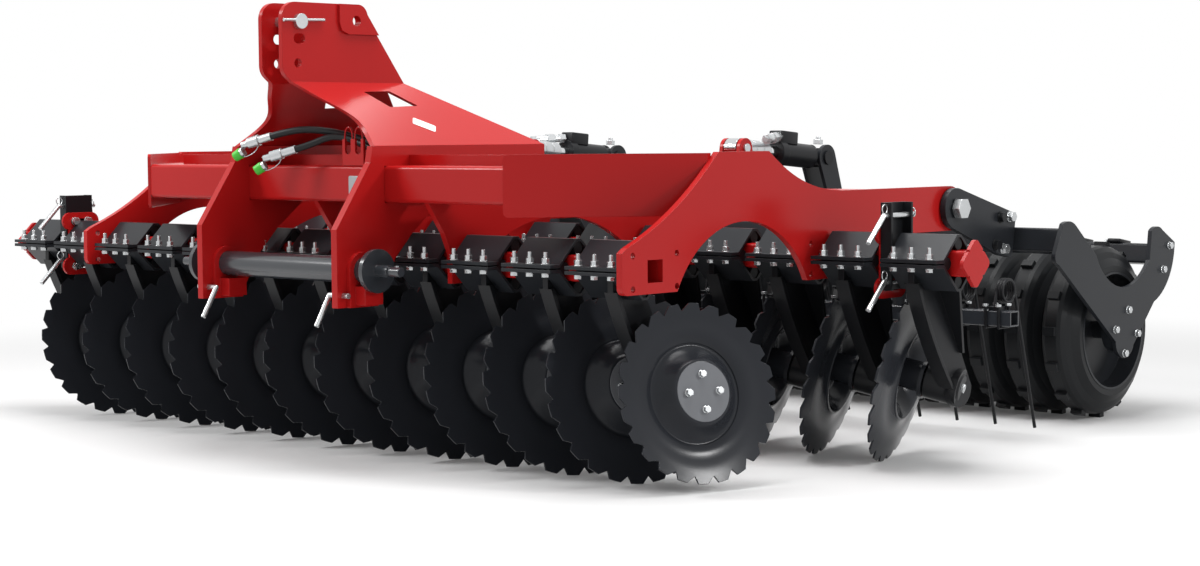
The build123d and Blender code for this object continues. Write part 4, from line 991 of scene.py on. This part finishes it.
@dataclass
class TineClamps:
    """U-clamps with their nuts that hold the spring tines to their bar."""

    tines: int = 20
    pitch: float = 0.150
    bar_half: float = 0.025
    wire: float = 0.005
    wire_sides: int = 8
    wire_past: float = 0.008
    offset: float = 0.024
    nut_across: float = 0.016
    nut_height: float = 0.008

    def build(self, frame: Frame) -> None:
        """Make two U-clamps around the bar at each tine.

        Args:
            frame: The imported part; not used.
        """
        low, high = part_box("tine_bar")
        y = (low.y + high.y) / 2
        z = (low.z + high.z) / 2
        reach = self.bar_half + self.wire
        crest = z + reach + self.wire_past
        kit = Kit(ZINC, BLACK)
        for number in range(self.tines):
            for flank in (-1, 1):
                x = (number - (self.tines - 1) / 2) * self.pitch + flank * self.offset
                points = [
                    Vector((x, y - reach, crest)),
                    Vector((x, y - reach, z - reach)),
                    Vector((x, y + reach, z - reach)),
                    Vector((x, y + reach, crest)),
                ]
                kit.use(BLACK)
                kit.rod(points, self.wire, self.wire_sides)
                kit.use(ZINC)
                for end in (points[0], points[-1]):
                    kit.hexagon(end, Z_AXIS, self.nut_across, self.nut_height)
        kit.piece("tine_clamps", "frame")


@dataclass
class AdjusterDress:
    """Bolts of the outer discs' guide plates and the spring clips on their pins."""

    half: float = 0.024
    lobe: float = 0.080
    bolt_offset: float = 0.026
    bolt_across: float = 0.024
    bolt_height: float = 0.012
    pin_inset: float = 0.015
    pin_heights: tuple[float, float] = (0.752, 0.558)
    channel_half: float = 0.055
    clip_radius: float = 0.013
    clip_wire: float = 0.002
    clip_sides: int = 8
    clip_past: float = 0.014
    clip_lift: float = 0.0078
    leg: tuple[float, float] = (0.008, 0.050)
    leg_lean: float = 0.004
    knee_past: float = 0.012
    knee_lift: float = 0.019

    def build(self, frame: Frame) -> None:
        """Make the bolts and clips of both adjusters.

        Args:
            frame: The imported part.
        """
        kit = Kit(ZINC)
        for row, inner in ((Row.FRONT, 1), (Row.REAR, DISCS_IN_ROW - 1)):
            middle = (frame.clamp(row, inner) + frame.clamp(row, inner + 1)) / 2
            out = X_AXIS * row.value
            for up in (1, -1):
                for flank in (1, -1):
                    spot = Vector((0, flank * self.bolt_offset, up * self.lobe))
                    seat = middle + out * self.half + spot
                    kit.bolt(seat, out, self.bolt_across, self.bolt_height)
            pin = middle - out * (self.half - self.pin_inset)
            for height in self.pin_heights:
                self.add_clips(kit, Vector((pin.x, pin.y, height)))
        kit.piece("adjuster_fasteners", "frame")

    def add_clips(self, kit: Kit, pin: Vector) -> None:
        """Add the spring clip at a pin's tail and the ring at its knee.

        Args:
            kit: The adjusters' fasteners.
            pin: The pin's middle.
        """
        tail = pin + Y_AXIS * (self.channel_half + self.clip_past)
        kit.ring(tail + Z_AXIS * self.clip_lift, Y_AXIS, self.clip_radius, self.clip_wire)
        start, end = self.leg
        leg = [tail - Z_AXIS * start, tail - Z_AXIS * end + Y_AXIS * self.leg_lean]
        kit.rod(leg, self.clip_wire, self.clip_sides)
        knee = pin - Y_AXIS * (self.channel_half + self.knee_past) + Z_AXIS * self.knee_lift
        kit.ring(knee, X_AXIS, self.clip_radius, self.clip_wire)


@dataclass
class CylinderDress:
    """Depth-stop clips around the piston rods, valves on the barrels and caps on their pins.

    A valve is a row of number of sides, radius and length.
    """

    clips: int = 3
    clip_length: float = 0.038
    clip_gap: float = 0.002
    clip_radius: float = 0.034
    round_sides: int = 28
    eye_radius: float = 0.036
    eye_inset: float = 0.034
    block_size: tuple[float, float, float] = (0.060, 0.092, 0.046)
    block_bevel: float = 0.005
    block_back: float = 0.060
    block_sink: float = 0.020
    valve: tuple[tuple[int, float, float], ...] = (
        (6, 0.018, 0.022),
        (20, 0.013, 0.022),
        (6, 0.021, 0.032),
        (20, 0.016, 0.044),
        (6, 0.017, 0.018),
        (20, 0.010, 0.012),
    )
    valve_way: tuple[float, float, float] = (0.35, -0.93, -0.06)
    valve_shift: float = 0.012
    plug_back: float = 0.200
    plug_sink: float = 0.004
    plug_across: float = 0.030
    plug_height: float = 0.016
    plug_neck: float = 0.009
    plug_neck_height: float = 0.010
    lever_half: float = 0.044
    pin_cap_radius: float = 0.021
    pin_cap_height: float = 0.003
    pin_cap_chamfer: float = 0.002

    def build(self, frame: Frame) -> None:
        """Make the clips of both cylinders, each on its rod, their valves and pin caps.

        Args:
            frame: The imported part.
        """
        self.build_pin_caps(frame)
        for side in Side:
            label = side.name.lower()
            stroke = frame.joint(f"cylinder_{label}_stroke")
            low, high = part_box(f"cylinder_rod_{label}")
            way = Vector(stroke["axis"]).normalized()
            if way.y > 0:
                way = -way
            eye = Vector(((low.x + high.x) / 2, low.y + self.eye_inset, 0))
            turn = Vector(frame.joint(f"cylinder_{label}_turn")["pos_m"])
            eye.z = turn.z + (eye.y - turn.y) * way.z / way.y
            self.build_valve(side, frame, way)
            kit = Kit(ZINC)
            for number in range(self.clips):
                start = eye - way * (self.eye_radius + number * (self.clip_length + self.clip_gap))
                kit.prism(start, -way, self.clip_radius, self.clip_length, self.round_sides)
            kit.piece(f"depth_stops_{label}", stroke["child"])

    def build_valve(self, side: Side, frame: Frame, way: Vector) -> None:
        """Make the port block on a barrel with its check valve, and the plug at its rear port.

        Args:
            side: The cylinder's side.
            frame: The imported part.
            way: The cylinder's direction toward its rod.
        """
        label = side.name.lower()
        low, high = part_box(f"cylinder_barrel_{label}")
        upward = X_AXIS.cross(way).normalized()
        if upward.z < 0:
            upward = -upward
        axes = Matrix((X_AXIS, -way, upward)).transposed().to_4x4()
        crown = Vector(((low.x + high.x) / 2, low.y + self.block_back, high.z))
        middle = crown + upward * (self.block_size[2] / 2 - self.block_sink)
        kit = Kit(BLACK, ZINC)
        kit.block(middle, Vector(self.block_size), axes, self.block_bevel)
        kit.use(ZINC)
        run = Vector(self.valve_way).normalized()
        run.x *= side.value
        at = middle + way * self.block_size[1] / 2 + X_AXIS * side.value * self.valve_shift
        for sides, radius, length in self.valve:
            kit.prism(at, run, radius, length, sides)
            at = at + run * length
        rear = crown - way * self.plug_back - upward * self.plug_sink
        kit.hexagon(rear, upward, self.plug_across, self.plug_height)
        neck = rear + upward * self.plug_height
        kit.prism(neck, upward, self.plug_neck, self.plug_neck_height)
        kit.piece(f"cylinder_valve_{label}", frame.joint(f"cylinder_{label}_turn")["child"])

    def build_pin_caps(self, frame: Frame) -> None:
        """Make the bright ends of the lever pins.

        Args:
            frame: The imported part.
        """
        kit = Kit(ZINC)
        for side in Side:
            pin = Vector(frame.joint(f"cylinder_{side.name.lower()}_turn")["pos_m"])
            for face in (1, -1):
                kit.prism(
                    pin + X_AXIS * face * self.lever_half,
                    X_AXIS * face,
                    self.pin_cap_radius,
                    self.pin_cap_height,
                    self.round_sides,
                    self.pin_cap_radius - self.pin_cap_chamfer,
                )
        kit.piece("lever_pin_caps", "roller_frame")


@dataclass
class Headstock:
    """Blank plates on the skirt and the beam, and the wire loops above the hose fork."""

    plate_at: tuple[float, float, float] = (0.244, -1.004, 1.0274)
    plate_size: tuple[float, float] = (0.076, 0.040)
    plate_turn_deg: float = 39.0
    skirt_run: tuple[float, float] = (0.2765, -0.195)
    beam_plate_at: tuple[float, float] = (0.205, 0.846)
    beam_plate_size: tuple[float, float] = (0.068, 0.058)
    plate_thickness: float = 0.0012
    plate_corner: float = 0.005
    loop_offset: float = 0.023
    loop_lift: float = 0.006
    loop_half: float = 0.017
    loop_height: float = 0.030
    loop_leg: float = 0.020
    loop_wire: float = 0.0025
    loop_sides: int = 8
    loop_steps: int = 12

    def build(self, frame: Frame) -> None:
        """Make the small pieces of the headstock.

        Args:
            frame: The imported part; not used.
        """
        self.build_skirt_plate()
        self.build_beam_plate()
        self.build_loops()

    def add_plate(self, kit: Kit, at: Vector, size: tuple[float, float], axes: Matrix) -> None:
        """Add a thin plate that lies on a face.

        Args:
            kit: The plate's kit.
            at: Middle of its back.
            size: Its length and width.
            axes: Its own axes, the last one out of the face.
        """
        out = axes.to_3x3().col[2]
        solid = Vector((*size, self.plate_thickness))
        kit.block(at + out * self.plate_thickness / 2, solid, axes, self.plate_corner, plate=True)

    def build_skirt_plate(self) -> None:
        """Lay a plate on the left skirt, its long side falling to the rear."""
        fall = Vector((self.skirt_run[0], 0, self.skirt_run[1])).normalized()
        out = Y_AXIS.cross(fall).normalized()
        if out.z < 0:
            out = -out
        turn = math.radians(self.plate_turn_deg)
        along = Y_AXIS * math.cos(turn) + fall * math.sin(turn)
        axes = Matrix((along, out.cross(along), out)).transposed().to_4x4()
        kit = Kit(VINYL)
        self.add_plate(kit, Vector(self.plate_at), self.plate_size, axes)
        kit.piece("skirt_plate", "frame")

    def build_beam_plate(self) -> None:
        """Lay a plate on the front of the beam."""
        x, z = self.beam_plate_at
        at = Vector((x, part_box("front_beam")[0].y, z))
        axes = Matrix((X_AXIS, Z_AXIS, -Y_AXIS)).transposed().to_4x4()
        kit = Kit(BARE)
        self.add_plate(kit, at, self.beam_plate_size, axes)
        kit.piece("beam_plate", "frame")

    def build_loops(self) -> None:
        """Bend the two wire loops above the hose fork."""
        kit = Kit(RED)
        low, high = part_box("hose_holder")
        middle = (low + high) / 2
        angles = [math.pi * step / self.loop_steps for step in range(self.loop_steps + 1)]
        leg = Z_AXIS * self.loop_leg
        for side in (-1, 1):
            at = Vector((middle.x + side * self.loop_offset, middle.y, high.z + self.loop_lift))
            arch = [
                at + X_AXIS * self.loop_half * math.cos(a) + Z_AXIS * self.loop_height * math.sin(a)
                for a in angles
            ]
            kit.rod([arch[0] - leg] + arch + [arch[-1] - leg], self.loop_wire, self.loop_sides)
        kit.piece("fork_loops", "frame")


@dataclass
class HoseSet:
    """The two hydraulic hoses with their couplings' caps.

    A route's points are X, Y from the front tool bar, and Z.
    """

    radius: float = 0.011
    curve_sides: int = 5
    curve_steps: int = 10
    curve_order: int = 3
    routes: tuple[tuple[tuple[float, float, float], ...], ...] = (
        (
            (0.268, -0.085, 0.944),
            (0.222, -0.090, 0.964),
            (0.170, -0.097, 0.984),
            (0.105, -0.117, 1.000),
            (0.030, -0.157, 1.015),
            (-0.045, -0.195, 1.016),
            (-0.115, -0.223, 0.996),
        ),
        (
            (0.268, -0.121, 0.946),
            (0.225, -0.121, 0.960),
            (0.180, -0.123, 0.974),
            (0.130, -0.131, 0.992),
            (0.080, -0.157, 0.994),
            (0.030, -0.187, 0.970),
            (-0.012, -0.213, 0.956),
        ),
    )
    lengths: tuple[float, float] = (0.431, 0.318)
    coupling: float = 0.107
    cap_radius: float = 0.017
    cap_length: float = 0.026
    cap_taper: float = 0.9
    cap_ahead: float = 0.004
    cap_drop: float = 0.022
    cap_nod: float = 0.3
    cap_sides: int = 20
    collar_share: float = 0.86
    collar_length: float = 0.010
    strap: tuple[tuple[float, float], ...] = (
        (-0.060, -0.015),
        (-0.050, -0.028),
        (-0.034, -0.036),
        (-0.016, -0.038),
    )
    strap_end: tuple[float, float] = (0.004, -0.012)
    strap_wire: float = 0.0015
    strap_sides: int = 6
    band_back: float = 0.060
    band_radius: float = 0.0165
    band_wire: float = 0.0018
    band_sides: int = 24

    def build(self, frame: Frame) -> None:
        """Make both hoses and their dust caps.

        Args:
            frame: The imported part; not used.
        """
        low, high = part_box("front_tool_bar")
        bar_y = (low.y + high.y) / 2
        for number, route in enumerate(self.routes):
            points = [Vector((x, bar_y + y, z)) for x, y, z in route]
            hose = self.curve(f"hydraulic_hose_{number + 1}", points)
            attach(hose, "frame")
            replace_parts(hose, f"hose_{number + 1}")
            cap = self.cap(number, points)
            LOG.info("%s made", hose.name)

    def curve(self, name: str, points: Sequence[Vector]) -> bpy.types.Object:
        """Make a hose as a curve along its route.

        Args:
            name: The piece's name.
            points: The route's points.

        Returns:
            The curve's object.
        """
        data = bpy.data.curves.new(name, "CURVE")
        data.dimensions = "3D"
        data.bevel_depth = self.radius
        data.bevel_resolution = self.curve_sides
        data.resolution_u = self.curve_steps
        data.use_fill_caps = True
        spline = data.splines.new("NURBS")
        spline.points.add(len(points) - 1)
        for spot, point in zip(spline.points, points):
            spot.co = (*point, 1.0)
        spline.order_u = self.curve_order
        spline.use_endpoint_u = True
        data.materials.append(HOSE.material())
        made = bpy.data.objects.new(name, data)
        bpy.context.scene.collection.objects.link(made)
        return made

    def cap(self, number: int, points: Sequence[Vector]) -> bpy.types.Object:
        """Make the dust cap that hangs off a coupling on its wire strap.

        Args:
            number: The hose's number, from 0.
            points: The route's points.

        Returns:
            The cap's object.
        """
        way = (points[-1] - points[-2]).normalized()
        tip = points[-1] + way * self.coupling
        kit = Kit(CAP, ZINC)
        start = tip + way * self.cap_ahead - Z_AXIS * self.cap_drop
        axis = (way - Z_AXIS * self.cap_nod).normalized()
        top = self.cap_radius * self.cap_taper
        kit.prism(start, axis, self.cap_radius, self.cap_length, self.cap_sides, top)
        kit.use(ZINC)
        collar = self.cap_radius * self.collar_share
        kit.prism(start, -axis, collar, self.collar_length, self.cap_sides)
        wire = [tip + way * along + Z_AXIS * rise for along, rise in self.strap]
        wire.append(start + axis * self.strap_end[0] + Z_AXIS * self.strap_end[1])
        kit.rod(wire, self.strap_wire, self.strap_sides)
        band = tip - way * self.band_back
        kit.ring(band, way, self.band_radius, self.band_wire, self.band_sides)
        return kit.piece(f"dust_cap_{number + 1}", "frame")


@dataclass(frozen=True)
class Lamp:
    """A square soft box.

    Attributes:
        name: Its name.
        place: Where it hangs.
        size: Its edge.
        power: Its power in watts.
    """

    name: str
    place: tuple[float, float, float]
    size: float
    power: float


@dataclass
class Studio:
    """Pale floor, soft lights and the camera at the photograph's angle."""

    azimuth_deg: float = 42.61
    pitch_deg: float = 3.873
    roll_deg: float = -0.416
    focal_px: float = 2197.6
    image_px: float = 1200.0
    sensor_mm: float = 36.0
    camera_x: float = 5.2337
    camera_ahead: float = 4.5447
    camera_z: float = 0.9952
    camera_reach: float = 200.0
    floor_size: float = 60.0
    floor_colour: str = "#DEDEDE"
    floor_lift: float = 0.04
    floor_roughness: float = 0.8
    floor_specular: float = 0.2
    fade_start: float = 2.4
    fade_end: float = 5.2
    world_strength: float = 0.5
    lamp_aim: tuple[float, float, float] = (0.0, 0.0, 0.5)
    lamps: tuple[Lamp, ...] = (
        Lamp("top_box", (0.6, -0.6, 4.6), 3.0, 215.0),
        Lamp("left_box", (5.42, 0.47, 2.62), 0.55, 80.0),
        Lamp("front_box", (-3.3, -4.2, 3.9), 1.2, 165.0),
        Lamp("back_box", (-1.55, 2.2, 4.8), 0.6, 12.0),
    )

    def build(self, frame: Frame) -> None:
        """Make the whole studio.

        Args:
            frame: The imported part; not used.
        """
        self.build_camera()
        self.build_floor()
        self.build_world()
        self.build_lamps()

    def build_camera(self) -> None:
        """Stand the camera where the photograph was taken."""
        low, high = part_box("front_tool_bar")
        azimuth = math.radians(self.azimuth_deg)
        pitch = math.radians(self.pitch_deg)
        roll = math.radians(self.roll_deg)
        view = Vector(
            (
                -math.sin(azimuth) * math.cos(pitch),
                math.cos(azimuth) * math.cos(pitch),
                -math.sin(pitch),
            )
        )
        right = Vector((math.cos(azimuth), math.sin(azimuth), 0))
        upward = right.cross(view)
        right_rolled = right * math.cos(roll) + upward * math.sin(roll)
        up_rolled = upward * math.cos(roll) - right * math.sin(roll)
        turn = Matrix((right_rolled, up_rolled, -view)).transposed().to_4x4()
        data = bpy.data.cameras.new("camera")
        data.sensor_width = self.sensor_mm
        data.lens = self.focal_px / self.image_px * self.sensor_mm
        data.clip_end = self.camera_reach
        camera = bpy.data.objects.new("camera", data)
        place = Vector((self.camera_x, (low.y + high.y) / 2 - self.camera_ahead, self.camera_z))
        camera.matrix_world = Matrix.Translation(place) @ turn
        bpy.context.scene.collection.objects.link(camera)
        bpy.context.scene.camera = camera

    def build_floor(self) -> None:
        """Lay the pale floor, which turns into the white background away from the machine."""
        mesh = bmesh.new()
        bmesh.ops.create_grid(mesh, x_segments=1, y_segments=1, size=self.floor_size / 2)
        data = bpy.data.meshes.new("floor")
        mesh.to_mesh(data)
        mesh.free()
        material = bpy.data.materials.new("pale_floor_paint")
        material.use_nodes = True
        tree = material.node_tree
        shader = tree.nodes["Principled BSDF"]
        shader.inputs["Base Color"].default_value = linear(self.floor_colour)
        shader.inputs["Roughness"].default_value = self.floor_roughness
        shader.inputs["Specular IOR Level"].default_value = self.floor_specular
        seen = self.seen(tree)
        lift = self.scaled(tree, seen, self.floor_lift)
        glow = add_node(tree, "ShaderNodeEmission", links={"Strength": lift})
        lit = add_node(tree, "ShaderNodeAddShader")
        tree.links.new(shader.outputs["BSDF"], lit.inputs[0])
        tree.links.new(glow.outputs["Emission"], lit.inputs[1])
        white = add_node(tree, "ShaderNodeEmission", {"Strength": 1.0})
        place = add_node(tree, "ShaderNodeTexCoord")
        away = add_node(
            tree,
            "ShaderNodeVectorMath",
            {"operation": "LENGTH"},
            {"Vector": place.outputs["Object"]},
        )
        far = add_node(
            tree,
            "ShaderNodeMapRange",
            {
                "interpolation_type": "SMOOTHSTEP",
                "From Min": self.fade_start,
                "From Max": self.fade_end,
            },
            {"Value": away.outputs["Value"]},
        )
        blend = add_node(tree, "ShaderNodeMath", {"operation": "MULTIPLY"})
        tree.links.new(far.outputs["Result"], blend.inputs[0])
        tree.links.new(seen, blend.inputs[1])
        both = add_node(tree, "ShaderNodeMixShader", links={"Fac": blend.outputs[0]})
        tree.links.new(lit.outputs["Shader"], both.inputs[1])
        tree.links.new(white.outputs["Emission"], both.inputs[2])
        tree.links.new(both.outputs["Shader"], tree.nodes["Material Output"].inputs["Surface"])
        data.materials.append(material)
        floor = bpy.data.objects.new("floor", data)
        bpy.context.scene.collection.objects.link(floor)

    @staticmethod
    def seen(tree: bpy.types.NodeTree) -> bpy.types.NodeSocket:
        """Add the nodes that tell a seen or mirrored surface from one that only lights.

        Args:
            tree: Node tree of the floor or the world.

        Returns:
            Socket that is 1 for camera, glossy and transmission rays.
        """
        ray = add_node(tree, "ShaderNodeLightPath")
        either = add_node(tree, "ShaderNodeMath", {"operation": "MAXIMUM"})
        tree.links.new(ray.outputs["Is Camera Ray"], either.inputs[0])
        tree.links.new(ray.outputs["Is Glossy Ray"], either.inputs[1])
        any_ray = add_node(tree, "ShaderNodeMath", {"operation": "MAXIMUM"})
        tree.links.new(either.outputs[0], any_ray.inputs[0])
        tree.links.new(ray.outputs["Is Transmission Ray"], any_ray.inputs[1])
        return any_ray.outputs[0]

    @staticmethod
    def scaled(
        tree: bpy.types.NodeTree, socket: bpy.types.NodeSocket, factor: float
    ) -> bpy.types.NodeSocket:
        """Add a node that multiplies a value.

        Args:
            tree: Node tree of the socket.
            socket: The value.
            factor: What it is multiplied by.

        Returns:
            Socket of the product.
        """
        times = add_node(tree, "ShaderNodeMath", {"operation": "MULTIPLY"})
        tree.links.new(socket, times.inputs[0])
        times.inputs[1].default_value = factor
        return times.outputs[0]

    def build_world(self) -> None:
        """Light all round, white where the camera and glossy surfaces see it."""
        world = bpy.data.worlds.new("studio")
        bpy.context.scene.world = world
        world.use_nodes = True
        tree = world.node_tree
        back = tree.nodes["Background"]
        back.inputs["Color"].default_value = (1, 1, 1, 1)
        level = add_node(
            tree,
            "ShaderNodeMapRange",
            {"To Min": self.world_strength, "To Max": 1.0},
            {"Value": self.seen(tree)},
        )
        tree.links.new(level.outputs["Result"], back.inputs["Strength"])

    def build_lamps(self) -> None:
        """Hang a large soft box above and smaller ones to the left, in front and behind."""
        for lamp in self.lamps:
            data = bpy.data.lights.new(lamp.name, "AREA")
            data.size = lamp.size
            data.energy = lamp.power
            made = bpy.data.objects.new(lamp.name, data)
            made.location = lamp.place
            aim = Vector(self.lamp_aim) - made.location
            made.rotation_euler = aim.to_track_quat("-Z", "Y").to_euler()
            bpy.context.scene.collection.objects.link(made)


def main() -> None:
    """Load the part, build each class in order and log each piece."""
    logging.basicConfig(level=logging.INFO, format="%(name)s %(message)s")
    frame = Frame(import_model())
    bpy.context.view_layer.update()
    frame.dress_nodes()
    bpy.context.scene.view_settings.view_transform = "Standard"
    assemblies = (
        Studio(),
        HoseSet(),
        ClampBolts(),
        DiscBlades(),
        DiscHubs(),
        RollerDress(),
        TineClamps(),
        AdjusterDress(),
        CylinderDress(),
        Headstock(),
    )
    for assembly in assemblies:
        assembly.build(frame)
        LOG.info("%s built", type(assembly).__name__)
    bpy.context.view_layer.update()


if __name__ == "__main__":
    main()
